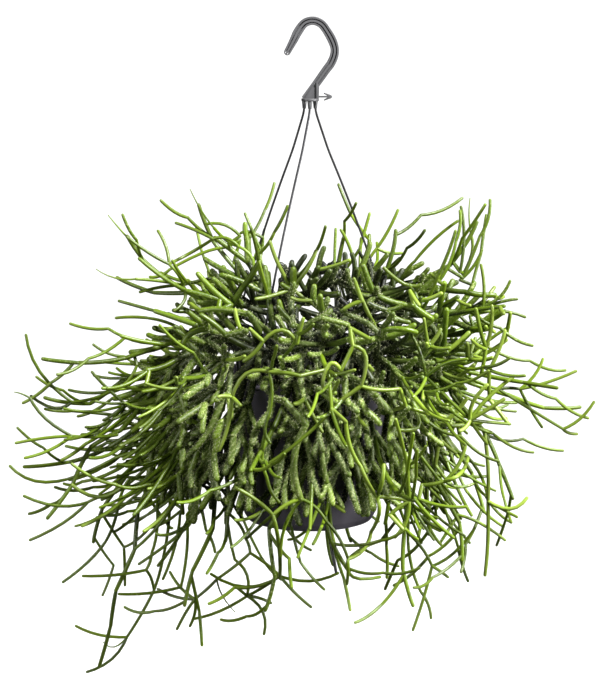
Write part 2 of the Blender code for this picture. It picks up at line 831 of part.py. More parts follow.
def share_of_reach(point, thick):
    """How far out a point lies: 0 on the axis, 1 at the reach of the mound or of the longest stems."""
    height = min(max(seen_height(point), REACHES[-1][0]), REACHES[0][0])
    upper, lower = next(rows for rows in zip(REACHES, REACHES[1:]) if rows[1][0] <= height)
    t = (upper[0] - height) / (upper[0] - lower[0])
    row = [first + (second - first) * t for first, second in zip(upper, lower)]
    left, right = row[1 if thick else 2], row[3 if thick else 4]
    across = left if point.x < 0 else right
    return math.hypot(point.x / across, 2 * point.y / (left + right))


def within_bounds(point, thick):
    """Whether a twig may end here. The lower part of the pot is left to show between the thick ones."""
    over_pot = point.z < POT_SHOWS_BELOW and point.xy.length < POT_SHOWS_WITHIN
    if thick and over_pot:
        return False
    in_height = seen_height(point) > REACHES[-1][0] and point.z < FOLIAGE_TOP
    return in_height and share_of_reach(point, thick) < 1


def grow_twig(buds, thick, choices, space, draw):
    """Add one twig where the fewest others stand, from the free ways that some tries find."""
    radius = (THICK_TWIG_RADIUS if thick else THIN_TWIG_RADIUS) * TWIG_CORNER
    radii = [radius * TWIG_NECK, radius, radius * BLUNT_TIP]
    found = []
    for _ in range(TWIG_ATTEMPTS):
        bud = draw.choice(buds)
        points, heading = twig_line(bud, thick, draw)
        free = space.free(bud[0]["name"], points, radii, OWN_PLANT_ROOM, TWIG_START_ROOM)
        if free and within_bounds(points[-1], thick):
            crowd = space.crowding(points[-1]) * (FACE_FAVOUR - min(share_of_reach(points[-1], True), 1))
            found.append((crowd, len(found), bud, points, heading))
        if len(found) == choices:
            break
    if not found:
        return
    _, _, bud, points, heading = min(found)
    stem = bud[0]
    space.add(stem["name"], points, radii)
    stem["twigs"].append((points, radii))
    buds.append((stem, points[-1] - heading * BUD_OFFSET, heading))
    buds.append((stem, points[1] + heading * BUD_OFFSET, heading))


def grow_twigs(stems, space, draw):
    """Fork the ends of the leading shoots, fill the mound with thick twigs and fringe it with thin ones."""
    for stem in stems:
        for bud in leader_buds(stem)[-2:]:
            grow_twig([bud], False, 1, space, draw)
    buds = [bud for stem in stems for bud in leader_buds(stem)]
    for _ in range(THICK_TWIGS):
        grow_twig(buds, True, TWIG_CHOICES, space, draw)
    for _ in range(THIN_TWIGS):
        grow_twig(buds, False, TWIG_CHOICES, space, draw)


def make_stems(stems, material, collection):
    """One fused solid for each rooted stem."""
    for stem in stems:
        leader = tube("leader", *stem["leader"], LEADER_SIDES)
        twigs = [tube("twig", points, radii, TWIG_SIDES) for points, radii in stem["twigs"]]
        solid = combine(leader, twigs, "UNION")
        keep(solid, stem["name"], material, collection, 60)


def fill_space():
    """The space with the hanger wires, their stops and the pot's ears in it."""
    space = Space()
    for side, azimuth in EAR_AZIMUTHS.items():
        route = wire_route(side)
        space.add("wire", route, [WIRE_RADIUS] * len(route))
        below = [route[-1], route[-1] - Vector((0.0, 0.0, WIRE_STOP_HEIGHT))]
        space.add("stop", below, [WIRE_STOP_RADIUS] * 2)
        inner = around(azimuth, POT_LIP_RADIUS, EAR_TOP)
        outer = around(azimuth, EAR_REACH - EAR_HALF_WIDTH / 2, EAR_TOP)
        space.add("ear", [inner, outer], [EAR_HALF_WIDTH] * 2)
    return space


def main():
    empty_scene()
    collection = new_collection("potted_mistletoe_cactus")
    plastic = make_material("hook_plastic", (0.115, 0.115, 0.120), 0.45)
    wire_plastic = make_material("wire_plastic", (0.045, 0.045, 0.047), 0.40)
    pot_plastic = make_material("pot_plastic", (0.050, 0.046, 0.056), 0.45)
    mix = make_material("potting_mix", (0.060, 0.040, 0.026), 0.95)
    green = make_material("cactus_stem", (0.150, 0.270, 0.050), 0.50)
    make_hook(plastic, collection)
    make_wires(wire_plastic, collection)
    make_pot(pot_plastic, collection)

    draw = random.Random(SEED)
    space = fill_space()
    stems = grow_leaders(space, draw)
    grow_twigs(stems, space, draw)
    make_soil([stem["root"] for stem in stems], mix, collection)
    make_stems(stems, green, collection)


main()
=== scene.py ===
# %% [markdown]
# # A mistletoe cactus in a hanging pot
#
# The packed model gives every piece its place and size: a hook, three wires, a pot, its soil and 52 rooted
# stems drawn with few faces. This lesson dresses it. The hook, wires, pot and stems are made again with fine
# meshes that follow the plain ones, more stems and their bristles are added, and each surface gets a finish.

import json
import math
import random
from collections import namedtuple

import bmesh
import bpy
import numpy as np
from mathutils import Matrix, Vector

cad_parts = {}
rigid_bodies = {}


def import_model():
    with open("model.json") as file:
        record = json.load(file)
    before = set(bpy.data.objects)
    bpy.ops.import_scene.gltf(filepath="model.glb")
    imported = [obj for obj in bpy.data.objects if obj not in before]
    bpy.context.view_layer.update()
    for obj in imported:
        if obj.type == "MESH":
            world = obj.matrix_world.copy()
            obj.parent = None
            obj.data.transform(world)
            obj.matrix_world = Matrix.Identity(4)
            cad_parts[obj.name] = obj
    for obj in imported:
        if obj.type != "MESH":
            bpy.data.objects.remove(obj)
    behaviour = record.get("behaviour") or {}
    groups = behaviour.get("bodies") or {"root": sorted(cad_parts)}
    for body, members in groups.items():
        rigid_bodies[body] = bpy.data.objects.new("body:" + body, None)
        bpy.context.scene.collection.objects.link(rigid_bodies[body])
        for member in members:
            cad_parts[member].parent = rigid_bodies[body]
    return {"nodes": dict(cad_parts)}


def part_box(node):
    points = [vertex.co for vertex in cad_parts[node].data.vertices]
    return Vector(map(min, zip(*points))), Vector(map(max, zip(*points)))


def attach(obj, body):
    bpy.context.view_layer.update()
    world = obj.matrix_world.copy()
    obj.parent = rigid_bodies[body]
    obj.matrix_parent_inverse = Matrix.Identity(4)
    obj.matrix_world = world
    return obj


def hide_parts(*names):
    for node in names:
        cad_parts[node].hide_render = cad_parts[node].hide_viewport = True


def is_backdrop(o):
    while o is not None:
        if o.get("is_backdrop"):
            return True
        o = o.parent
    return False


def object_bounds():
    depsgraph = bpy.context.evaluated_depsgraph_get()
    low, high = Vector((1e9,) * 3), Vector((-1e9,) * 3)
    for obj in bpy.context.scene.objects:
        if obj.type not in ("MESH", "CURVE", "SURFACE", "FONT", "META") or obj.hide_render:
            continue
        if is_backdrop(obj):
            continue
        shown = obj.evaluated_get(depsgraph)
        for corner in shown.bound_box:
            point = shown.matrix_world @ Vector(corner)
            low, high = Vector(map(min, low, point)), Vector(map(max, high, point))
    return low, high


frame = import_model()
cad_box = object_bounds()
print("nodes:", len(frame["nodes"]))
print("CAD box:", [[round(value, 4) for value in corner] for corner in cad_box])

# %% [markdown]
# ## The camera
#
# The photograph looks at the plant from the front, from about nine degrees above the horizon and from some
# way off, so lines that run back hardly converge. A pixel of it is about 0.88 mm on the pot's axis. The lens
# follows from that, from the distance and from the picture's height in pixels.

# %% Place the camera
PIXEL = 0.00088
PICTURE_WIDTH = 600
PICTURE_HEIGHT = 683
CAMERA_AIM = Vector((-0.0085, 0.0, -0.2775))
CAMERA_DISTANCE = 2.2
CAMERA_TILT = math.radians(9)

camera_data = bpy.data.cameras.new("camera")
camera_data.sensor_fit = "VERTICAL"
camera_data.sensor_height = 36
camera_data.lens = camera_data.sensor_height * CAMERA_DISTANCE / (PICTURE_HEIGHT * PIXEL)
camera = bpy.data.objects.new("camera", camera_data)
bpy.context.scene.collection.objects.link(camera)
camera.location = CAMERA_AIM + CAMERA_DISTANCE * Vector((0.0, -math.cos(CAMERA_TILT), math.sin(CAMERA_TILT)))
camera.rotation_euler = (math.pi / 2 - CAMERA_TILT, 0.0, 0.0)
bpy.context.scene.camera = camera
print("lens:", round(camera_data.lens, 1), "mm")

# %% [markdown]
# ## The studio
#
# The photograph shows the plant on white paper, lit from above and from the right, with deep shade between
# the stems. A floor far below the hanging pot stands for the paper. If it threw light back up, the shade
# would go grey, so the floor is hidden from every ray but the camera's, and it has a lamp of its own. A key
# lamp stands high on the right, a weaker one stands low on the right, and a third opens up the shade on the
# left. The world gives a very weak fill.

# %% Lay the floor and light it
FLOOR_HEIGHT = -1.6
FLOOR_SIZE = 300.0
PAPER_SUN_STRENGTH = 4.0
FILL_COLOUR = (1.0, 1.0, 0.92, 1.0)
FILL_STRENGTH = 0.02
# Each lamp's name, place, the height on the pot's axis that it looks at, size and watts.
LAMPS = [
    ("key", (1.3, -1.1, 1.9), -0.30, 0.4, 200),
    ("side", (2.0, -0.6, -0.1), -0.35, 0.6, 40),
    ("left", (-1.5, -1.2, 0.0), -0.38, 0.6, 15),
]


def add_object(name, data):
    """Put new data in the scene at the origin."""
    thing = bpy.data.objects.new(name, data)
    bpy.context.scene.collection.objects.link(thing)
    return thing


def make_floor():
    """A very wide sheet of pale paper."""
    shape = bmesh.new()
    bmesh.ops.create_grid(shape, x_segments=1, y_segments=1, size=FLOOR_SIZE)
    bmesh.ops.translate(shape, verts=shape.verts, vec=(0.0, 0.0, FLOOR_HEIGHT))
    mesh = bpy.data.meshes.new("floor")
    shape.to_mesh(mesh)
    shape.free()
    paper = bpy.data.materials.new("paper")
    paper.use_nodes = True
    shader = paper.node_tree.nodes["Principled BSDF"]
    shader.inputs["Base Color"].default_value = (0.93, 0.93, 0.93, 1.0)
    shader.inputs["Roughness"].default_value = 0.9
    shader.inputs["Specular IOR Level"].default_value = 0.0
    mesh.materials.append(paper)
    floor = add_object("floor", mesh)
    floor.visible_diffuse = False
    floor.visible_glossy = False
    floor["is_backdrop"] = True
    return floor


def add_lamp(name, place, aim_height, size, watts):
    """A square soft lamp that looks at the pot's axis."""
    lamp = bpy.data.lights.new(name, "AREA")
    lamp.size = size
    lamp.energy = watts
    thing = add_object(name, lamp)
    thing.location = place
    view = Vector((0.0, 0.0, aim_height)) - Vector(place)
    thing.rotation_euler = view.to_track_quat("-Z", "Y").to_euler()


floor = make_floor()
for lamp in LAMPS:
    add_lamp(*lamp)

paper_sun = bpy.data.lights.new("paper_sun", "SUN")
paper_sun.energy = PAPER_SUN_STRENGTH
paper_lamp = add_object("paper_sun", paper_sun)
only_floor = bpy.data.collections.new("only_floor")
only_floor.objects.link(floor)
paper_lamp.light_linking.receiver_collection = only_floor

# %% Light the world
world = bpy.data.worlds.new("studio")
world.use_nodes = True
world_nodes = world.node_tree.nodes
fill = world_nodes["Background"]
paper_white = world_nodes.new("ShaderNodeBackground")
fill.inputs["Color"].default_value = FILL_COLOUR
fill.inputs["Strength"].default_value = FILL_STRENGTH
paper_white.inputs["Color"].default_value = (1.0, 1.0, 1.0, 1.0)
seen = world_nodes.new("ShaderNodeLightPath")
choice = world_nodes.new("ShaderNodeMixShader")
world_links = world.node_tree.links
world_links.new(seen.outputs["Is Camera Ray"], choice.inputs[0])
world_links.new(fill.outputs[0], choice.inputs[1])
world_links.new(paper_white.outputs[0], choice.inputs[2])
world_links.new(choice.outputs[0], world_nodes["World Output"].inputs["Surface"])
bpy.context.scene.world = world
bpy.context.scene.view_settings.view_transform = "Standard"
print("nodes of the world:", len(world_nodes))

# %% [markdown]
# ## Sweeping a section along a line
#
# The hook's strip, the wires and a single stem are all one outline carried along a line. In the editor that
# is a ring of edges that is extruded, moved and turned again and again, and the same operator does it here.
# Each call adds one ring. The two ends are filled, and the fill is poked so that it closes in a pole.

# %% Extrude ring after ring
def sweep(rings):
    """A closed bar in a bmesh, from rings that hold the same number of points each."""
    shape = bmesh.new()
    spots = bmesh.ops.create_circle(shape, segments=len(rings[0]), radius=1.0)["verts"]
    for spot, place in zip(spots, rings[0]):
        spot.co = place
    edges = shape.edges[:]
    for ring in rings[1:]:
        grown = bmesh.ops.extrude_edge_only(shape, edges=edges)["geom"]
        after = [element for element in grown if isinstance(element, bmesh.types.BMVert)]
        edges = [element for element in grown if isinstance(element, bmesh.types.BMEdge)]
        for spot, place in zip(after, ring):
            spot.co = place
        edges = [edge for edge in edges if edge.verts[0] in after and edge.verts[1] in after]
    ends = bmesh.ops.holes_fill(shape, edges=[edge for edge in shape.edges if edge.is_boundary])["faces"]
    bmesh.ops.poke(shape, faces=ends)
    bmesh.ops.recalc_face_normals(shape, faces=shape.faces)
    return shape


test_bar = sweep([[(1, 0, z), (0, 1, z), (-1, 0, z), (0, -1, z)] for z in (0, 1, 2)])
print("faces of a test bar:", len(test_bar.faces), "volume:", round(test_bar.calc_volume(), 3))
test_bar.free()

# %% Turn a swept shape into an object
def as_object(name, shape, smooth_angle=None):
    """Turn a bmesh into an object at the origin, smooth up to an angle in degrees."""
    mesh = bpy.data.meshes.new(name)
    shape.to_mesh(mesh)
    shape.free()
    if smooth_angle:
        mesh.shade_smooth()
        mesh.set_sharp_from_angle(angle=math.radians(smooth_angle))
    return add_object(name, mesh)


def smooth_line(points, per_span):
    """A line that curves smoothly through points, with some steps from each to the next."""
    line = []
    last = len(points) - 1
    for index in range(last):
        before = Vector(points[max(index - 1, 0)])
        start = Vector(points[index])
        end = Vector(points[index + 1])
        after = Vector(points[min(index + 2, last)])
        for step in range(per_span):
            t = step / per_span
            line.append(
                0.5
                * (
                    2 * start
                    + (end - before) * t
                    + (2 * before - 5 * start + 4 * end - after) * t * t
                    + (3 * start - before - 3 * end + after) * t * t * t
                )
            )
    line.append(Vector(points[last]))
    return line


print("points of a test line:", len(smooth_line([(0, 0, 0), (1, 0, 0), (1, 1, 0)], 4)))

# %% [markdown]
# ## Where the stems run
#
# The plain stems were grown by a rule with seeded random draws. The same rule with the same draws gives the
# same lines here, so the fine stems lie where the plain ones do. Each rooted stem is a leading shoot, which
# curves from the soil to its tip joint by joint, and twigs that fork from its joints. Everything that is
# placed is kept as closely spaced balls in a grid of cells, and a new stem only has to look at the cells near
# it to find whether its way is free.

# %% Sizes that the plain model shares
SLEEVE_BOTTOM = -0.0731
SLEEVE_PLACES = {"front": (0.0, -0.0046), "left": (-0.0048, 0.0024), "right": (0.0048, 0.0024)}
SLEEVE_BORE_DEPTH = 0.0038
GAP = 0.0003
OVERRUN = 0.001
WIRE_RADIUS = 0.0010
WIRE_STRAIGHT = 0.0090
WIRE_STRAIGHT_ABOVE_EAR = 0.0100
WIRE_POINTS = 9
WIRE_BOW = 0.0040
WIRE_STOP_RADIUS = 0.0026
WIRE_STOP_HEIGHT = 0.0016
EAR_AZIMUTHS = {"front": -33.0, "left": -118.0, "right": 86.0}
EAR_REACH = 0.0880
EAR_HOLE_REACH = 0.0825
EAR_HALF_WIDTH = 0.0060
EAR_THICKNESS = 0.0026
EAR_TOP = -0.3045
POT_TOP = -0.303
POT_BASE = -0.437
POT_WALL = 0.0018
POT_LIP_RADIUS = 0.0768
POT_LIP = [(0.0046, 0.0016), (0.0036, 0.0), (0.0008, 0.0), (0.0, 0.0010), (0.0, 0.0065), (0.0036, 0.0065)]
POT_OUTER = [
    (0.0732, -0.3110),
    (0.0649, -0.3880),
    (0.0600, -0.4210),
    (0.0583, -0.4300),
    (0.0552, -0.4352),
    (0.0500, -0.4370),
]
SOIL_TOP = -0.315
SOIL_MOUND = 0.002
ROOT_DEPTH = 0.010


def around(azimuth, reach, height):
    """The point at an azimuth in degrees from the viewer's side, a reach from the axis and a height."""
    angle = math.radians(azimuth)
    return Vector((reach * math.sin(angle), -reach * math.cos(angle), height))


def wire_route(side):
    """The points of one hanger wire, from inside its sleeve to below its ear."""
    x, y = SLEEVE_PLACES[side]
    bottom = around(EAR_AZIMUTHS[side], EAR_HOLE_REACH, EAR_TOP)
    start = Vector((x, y, SLEEVE_BOTTOM - WIRE_STRAIGHT))
    end = bottom + Vector((0.0, 0.0, WIRE_STRAIGHT_ABOVE_EAR))
    outward = Vector((bottom.x, bottom.y, 0.0)).normalized()
    points = [
        Vector((x, y, SLEEVE_BOTTOM + SLEEVE_BORE_DEPTH - GAP)),
        Vector((x, y, SLEEVE_BOTTOM - 2 * OVERRUN)),
    ]
    for step in range(WIRE_POINTS):
        t = step / (WIRE_POINTS - 1)
        bow = WIRE_BOW * math.sin(math.pi * t)
        points.append(start.lerp(end, t) + outward * bow)
    points.append(bottom + Vector((0.0, 0.0, 4 * OVERRUN)))
    points.append(bottom - Vector((0.0, 0.0, EAR_THICKNESS + GAP + WIRE_STOP_HEIGHT / 2)))
    return points


front_route = wire_route("front")
front_spans = [(end - start).length for start, end in zip(front_route, front_route[1:])]
print("length of the front wire:", round(sum(front_spans), 4))

# %% Tell whether a ball is clear of the pot
STEM_CLEARANCE = 0.0009


def wall_radius(height):
    """The pot's outer radius at a height."""
    if height >= POT_OUTER[0][1]:
        return POT_LIP_RADIUS
    for (high_radius, high), (low_radius, low) in zip(POT_OUTER, POT_OUTER[1:]):
        if low <= height <= high:
            t = (height - low) / (high - low)
            return low_radius + (high_radius - low_radius) * t
    return POT_OUTER[-1][0]


def clear_of_pot(point, radius):
    """Whether a ball of this radius stays off the pot, the soil and the space under the base."""
    reach = math.hypot(point.x, point.y)
    room = radius + STEM_CLEARANCE
    if point.z > POT_TOP + room:
        return True
    if point.z < POT_BASE - room:
        return reach > POT_OUTER[-1][0] + 2 * room
    outer = wall_radius(point.z)
    if reach > outer + room:
        return True
    inner = min(outer - POT_WALL, POT_LIP_RADIUS - POT_LIP[0][0])
    return reach < inner - room and point.z > SOIL_TOP + SOIL_MOUND + room


print("radius of the pot half way up:", round(wall_radius((POT_TOP + POT_BASE) / 2), 4))

# %% Keep track of the space
SAMPLE = 0.0022
CELL = 0.012


def beads(points, radii):
    """Closely spaced balls along a line of points."""
    for (start, end), (first, last) in zip(zip(points, points[1:]), zip(radii, radii[1:])):
        count = max(1, math.ceil((end - start).length / SAMPLE))
        for step in range(count + 1):
            t = step / count
            yield start.lerp(end, t), first + (last - first) * t


class Space:
    """The balls that stand for everything already placed, sorted into cells of a grid."""

    def __init__(self):
        self.cells = {}

    def cell(self, point):
        return (math.floor(point.x / CELL), math.floor(point.y / CELL), math.floor(point.z / CELL))

    def add(self, owner, points, radii):
        for point, radius in beads(points, radii):
            self.cells.setdefault(self.cell(point), []).append((point, radius, owner))

    def crowding(self, point, reach=2):
        """How many balls lie in the cells round a point."""
        cx, cy, cz = self.cell(point)
        steps = range(-reach, reach + 1)
        near = [(cx + x, cy + y, cz + z) for x in steps for y in steps for z in steps]
        return sum(len(self.cells.get(cell, ())) for cell in near)

    def free(self, owner, points, radii, joint_room, pot_room):
        """Whether a run of stem is clear. Near its start it may touch its own plant, or stand in the soil."""
        start = points[0]
        for point, radius in beads(points, radii):
            from_start = (point - start).length
            if from_start > pot_room and not clear_of_pot(point, radius):
                return False
            cx, cy, cz = self.cell(point)
            for x in (cx - 1, cx, cx + 1):
                for y in (cy - 1, cy, cy + 1):
                    for z in (cz - 1, cz, cz + 1):
                        for other, other_radius, other_owner in self.cells.get((x, y, z), ()):
                            if (point - other).length > radius + other_radius + STEM_CLEARANCE:
                                continue
                            if other_owner != owner:
                                return False
                            if from_start > joint_room and (other - start).length > joint_room:
                                return False
        return True


def fill_space():
    """The space with the hanger wires, their stops and the pot's ears in it."""
    space = Space()
    for side, azimuth in EAR_AZIMUTHS.items():
        route = wire_route(side)
        space.add("wire", route, [WIRE_RADIUS] * len(route))
        below = [route[-1], route[-1] - Vector((0.0, 0.0, WIRE_STOP_HEIGHT))]
        space.add("stop", below, [WIRE_STOP_RADIUS] * 2)
        inner = around(azimuth, POT_LIP_RADIUS, EAR_TOP)
        outer = around(azimuth, EAR_REACH - EAR_HALF_WIDTH / 2, EAR_TOP)
        space.add("ear", [inner, outer], [EAR_HALF_WIDTH] * 2)
    return space


space = fill_space()
print("cells in use:", len(space.cells))

# %% Where each rooted stem ends
TOP_TIPS = [
    (-0.158, -0.020, -0.182),
    (-0.098, 0.030, -0.160),
    (-0.045, -0.050, -0.190),
    (0.030, 0.020, -0.188),
    (0.074, -0.030, -0.176),
    (0.146, 0.000, -0.172),
    (0.055, 0.100, -0.195),
    (-0.055, 0.115, -0.195),
]
SIDE_TIPS = [
    (-0.232, -0.030, -0.288),
    (-0.238, 0.040, -0.335),
    (-0.252, -0.010, -0.388),
    (-0.175, 0.085, -0.232),
    (-0.160, -0.080, -0.260),
    (-0.105, -0.145, -0.285),
    (0.240, 0.010, -0.338),
    (0.213, -0.050, -0.310),
    (0.178, 0.080, -0.262),
    (0.165, -0.070, -0.236),
    (0.105, -0.155, -0.295),
    (0.020, -0.190, -0.275),
    (-0.048, -0.205, -0.350),
    (0.085, -0.180, -0.380),
    (0.125, 0.160, -0.285),
    (0.000, 0.205, -0.255),
    (-0.115, 0.170, -0.300),
    (0.060, 0.210, -0.350),
]
TRAIL_TIPS = [
    (-0.228, -0.050, -0.425),
    (-0.196, 0.040, -0.468),
    (-0.188, -0.010, -0.570),
    (-0.108, -0.080, -0.495),
    (-0.038, -0.115, -0.490),
    (0.178, -0.030, -0.412),
    (0.158, 0.040, -0.440),
    (0.132, -0.060, -0.460),
    (0.088, -0.100, -0.490),
    (0.033, -0.120, -0.455),
    (-0.150, 0.120, -0.450),
    (-0.065, 0.165, -0.475),
    (0.040, 0.155, -0.495),
    (0.120, 0.120, -0.455),
]
SKIRT_TIPS = [
    (-0.112, -0.010, -0.430),
    (-0.098, -0.060, -0.412),
    (-0.072, -0.088, -0.436),
    (-0.018, -0.108, -0.418),
    (0.020, -0.112, -0.432),
    (0.064, -0.092, -0.420),
    (0.104, -0.048, -0.440),
    (0.112, 0.020, -0.424),
    (0.080, 0.078, -0.440),
    (0.020, 0.112, -0.420),
    (-0.046, 0.104, -0.440),
    (-0.098, 0.056, -0.418),
]
# Each group's name, tips, ring of roots, rise from the soil, then its shoulder: how far out towards the tip
# it stands, how far below the tip it may lie, and its lowest level.
STEM_GROUPS = [
    ("top", TOP_TIPS, 0.019, 0.075, 0.80, 0.070, -0.260),
    ("side", SIDE_TIPS, 0.038, 0.085, 0.62, 0.020, -0.410),
    ("trail", TRAIL_TIPS, 0.062, 0.078, 0.35, 0.0, -0.258),
    ("skirt", SKIRT_TIPS, 0.0505, 0.055, 1.05, 0.0, -0.265),
]
print("rooted stems:", sum(len(group[1]) for group in STEM_GROUPS))

# %% Space points evenly along a curve
CURVE_STEPS = 80


def bezier(corners, t):
    """A point of a cubic curve."""
    a, b, c, d = corners
    u = 1 - t
    return a * u**3 + b * 3 * u * u * t + c * 3 * u * t * t + d * t**3


def even_line(corners, count):
    """Points at even distances along a cubic curve."""
    fine = [bezier(corners, step / CURVE_STEPS) for step in range(CURVE_STEPS + 1)]
    lengths = [0.0]
    for first, second in zip(fine, fine[1:]):
        lengths.append(lengths[-1] + (second - first).length)
    line = []
    at = 0
    for step in range(count + 1):
        wanted = lengths[-1] * step / count
        while at < CURVE_STEPS - 1 and lengths[at + 1] < wanted:
            at += 1
        t = (wanted - lengths[at]) / max(lengths[at + 1] - lengths[at], 0.000001)
        line.append(fine[at].lerp(fine[at + 1], min(t, 1.0)))
    return line, lengths[-1]


test_corners = [Vector((0.0, 0.0, height)) for height in (0.0, 0.1, 0.3, 0.4)]
print("length of a test curve:", round(even_line(test_corners, 4)[1], 4))

# %% Curve each leading shoot from its root to its tip
LEADER_CORNER = 1.15
LEADER_FOOT_RADIUS = 0.0024
LEADER_TIP_RADIUS = 0.0016
COLLAR_HEIGHT = 0.006
BLUNT_TIP = 0.7
JOINT_LENGTH = 0.036
JOINT_WANDER = 0.006
BEND_LEAN = 0.15
BEND_SHIFT = 0.6
FOLIAGE_TOP = -0.150
ROOT_TURN = 9.0
LEADER_ATTEMPTS = 400
ATTEMPT_SPREAD = 0.00025


def azimuth_of(tip):
    """The azimuth of a tip in degrees from the viewer's side."""
    return math.degrees(math.atan2(tip[0], -tip[1]))


def root_places(tips, ring, offset):
    """Root places spread evenly on a ring, in the order of the tips' azimuths."""
    order = sorted(range(len(tips)), key=lambda index: azimuth_of(tips[index]))
    step = 360 / len(tips)
    shift = sum(azimuth_of(tips[index]) - step * rank for rank, index in enumerate(order)) / len(tips)
    places = [None] * len(tips)
    for rank, index in enumerate(order):
        places[index] = around(shift + offset + step * rank, ring, SOIL_TOP)
    return places


def leading_line(root, tip, group, draw, attempt):
    """A stem's leading shoot, joint by joint, from the foot of its root to its tip."""
    rise, outwards, below, level = group[3:]
    low = root + Vector((0.0, 0.0, COLLAR_HEIGHT))
    flat_root = Vector((root.x, root.y, 0.0))
    flat_tip = Vector((tip.x, tip.y, 0.0))
    shoulder = flat_root.lerp(flat_tip, outwards)
    shoulder.z = max(level, tip.z - below)
    spread = ATTEMPT_SPREAD * attempt
    shift = Vector((draw.uniform(-spread, spread), draw.uniform(-spread, spread), draw.uniform(0, spread)))
    bend = low + Vector((0.0, 0.0, rise)) + flat_root * BEND_LEAN + shift * BEND_SHIFT
    corners = [low, bend, shoulder + shift, tip]
    joints = max(2, round(even_line(corners, 2)[1] / JOINT_LENGTH))
    line, _ = even_line(corners, joints)
    for index in range(1, len(line) - 1):
        line[index] += Vector([draw.uniform(-JOINT_WANDER, JOINT_WANDER) for _ in range(3)])
        line[index].z = min(line[index].z, FOLIAGE_TOP)
    return [root - Vector((0.0, 0.0, ROOT_DEPTH))] + line


def leading_radii(count):
    """The radius at each joint of a leading shoot: even in the soil, then thinner, with a blunt tip."""
    radii = []
    for index in range(count):
        t = max(0, index - 2) / (count - 3)
        radii.append((LEADER_FOOT_RADIUS + (LEADER_TIP_RADIUS - LEADER_FOOT_RADIUS) * t) * LEADER_CORNER)
    radii[-1] *= BLUNT_TIP
    return radii


def grow_leaders(space, draw):
    """Find a free way for every stem's leading shoot."""
    stems = []
    for order, group in enumerate(STEM_GROUPS):
        kind, tips, ring = group[:3]
        for number, (root, tip) in enumerate(zip(root_places(tips, ring, ROOT_TURN * order), tips), 1):
            name = f"stem_{kind}_{number:02d}"
            for attempt in range(LEADER_ATTEMPTS):
                line = leading_line(root, Vector(tip), group, draw, attempt)
                radii = leading_radii(len(line))
                if space.free(name, line, radii, 0.0, ROOT_DEPTH + COLLAR_HEIGHT):
                    break
            else:
                print("no way for", name)
                continue
            space.add(name, line, radii)
            stems.append({"name": name, "root": root, "leader": (line, radii), "twigs": []})
    return stems


draw = random.Random(11)
stems = grow_leaders(space, draw)
print("leading shoots:", len(stems), "joints:", sum(len(stem["leader"][0]) - 1 for stem in stems))

# %% Draw one twig from a joint
BUD_OFFSET = 0.0040
TWIG_LEAN = (25, 70)
TWIG_FIRST_LENGTH = (0.028, 0.046)
TWIG_SECOND_LENGTH = (0.024, 0.042)
TWIG_SWAY = 0.45
HANGING_LEVEL = -0.300
PLANT_HEART = Vector((0.0, 0.0, -0.335))
HEART_PULL = 0.60
HANGING_PULL = -0.30
LIFTING_PULL = 0.05
TWIG_PULL = 0.7


def leader_buds(stem):
    """The joints of a leading shoot where twigs may grow, from the second joint above the soil out."""
    line, _ = stem["leader"]
    buds = []
    for index in range(3, len(line) - 1):
        along = (line[index + 1] - line[index]).normalized()
        buds.append((stem, line[index] + along * BUD_OFFSET, along))
    along = (line[-1] - line[-2]).normalized()
    buds.append((stem, line[-1] - along * BUD_OFFSET, along))
    return buds


def pull_at(place, thick):
    """The direction in which a twig that starts here is drawn."""
    away = (place - PLANT_HEART).normalized() * HEART_PULL
    if place.z < HANGING_LEVEL and thick:
        away.z += HANGING_PULL
    if place.z < HANGING_LEVEL and not thick:
        away.z = LIFTING_PULL
    return away


def twig_line(bud, thick, draw):
    """A twig of two lengths with a knee between them, which starts inside what it grows from."""
    _, place, along = bud
    lean = math.radians(draw.uniform(*TWIG_LEAN))
    across = along.orthogonal().normalized()
    across.rotate(Matrix.Rotation(draw.uniform(0, math.tau), 3, along))
    heading = along * math.cos(lean) + across * math.sin(lean)
    pull = pull_at(place, thick)
    heading = (heading + pull * TWIG_PULL).normalized()
    knee = place + heading * draw.uniform(*TWIG_FIRST_LENGTH)
    sway = Vector([draw.uniform(-TWIG_SWAY, TWIG_SWAY) for _ in range(3)])
    heading = (heading + pull * TWIG_PULL + sway).normalized()
    tip = knee + heading * draw.uniform(*TWIG_SECOND_LENGTH)
    return [place, knee, tip], heading


print("buds on the leading shoots:", sum(len(leader_buds(stem)) for stem in stems))

# %% Keep twigs within the plant's reach
# How far the plant reaches at heights as they are seen from the front: its mound and its longest stems to
# the left, then its mound and its longest stems to the right. Thick twigs end in the mound, and thin ones
# stand out.
REACHES = [
    (-0.147, 0.001, 0.125, 0.001, 0.165),
    (-0.169, 0.001, 0.176, 0.001, 0.165),
    (-0.192, 0.001, 0.178, 0.001, 0.163),
    (-0.204, 0.095, 0.180, 0.130, 0.168),
    (-0.245, 0.132, 0.175, 0.172, 0.190),
    (-0.272, 0.150, 0.240, 0.168, 0.195),
    (-0.303, 0.165, 0.240, 0.155, 0.235),
    (-0.334, 0.175, 0.258, 0.148, 0.252),
    (-0.370, 0.170, 0.262, 0.140, 0.235),
    (-0.405, 0.155, 0.258, 0.130, 0.190),
    (-0.437, 0.125, 0.250, 0.100, 0.190),
    (-0.468, 0.060, 0.235, 0.050, 0.170),
    (-0.503, 0.001, 0.205, 0.001, 0.130),
    (-0.530, 0.001, 0.190, 0.001, 0.050),
    (-0.550, 0.001, 0.185, 0.001, 0.010),
]
# How much higher a point is seen for each metre that it lies further back.
SEEN_RISE = 0.158
POT_SHOWS_BELOW = -0.405
POT_SHOWS_WITHIN = 0.128


def seen_height(point):
    """The height at which a point is seen from the front."""
    return point.z + SEEN_RISE * point.y


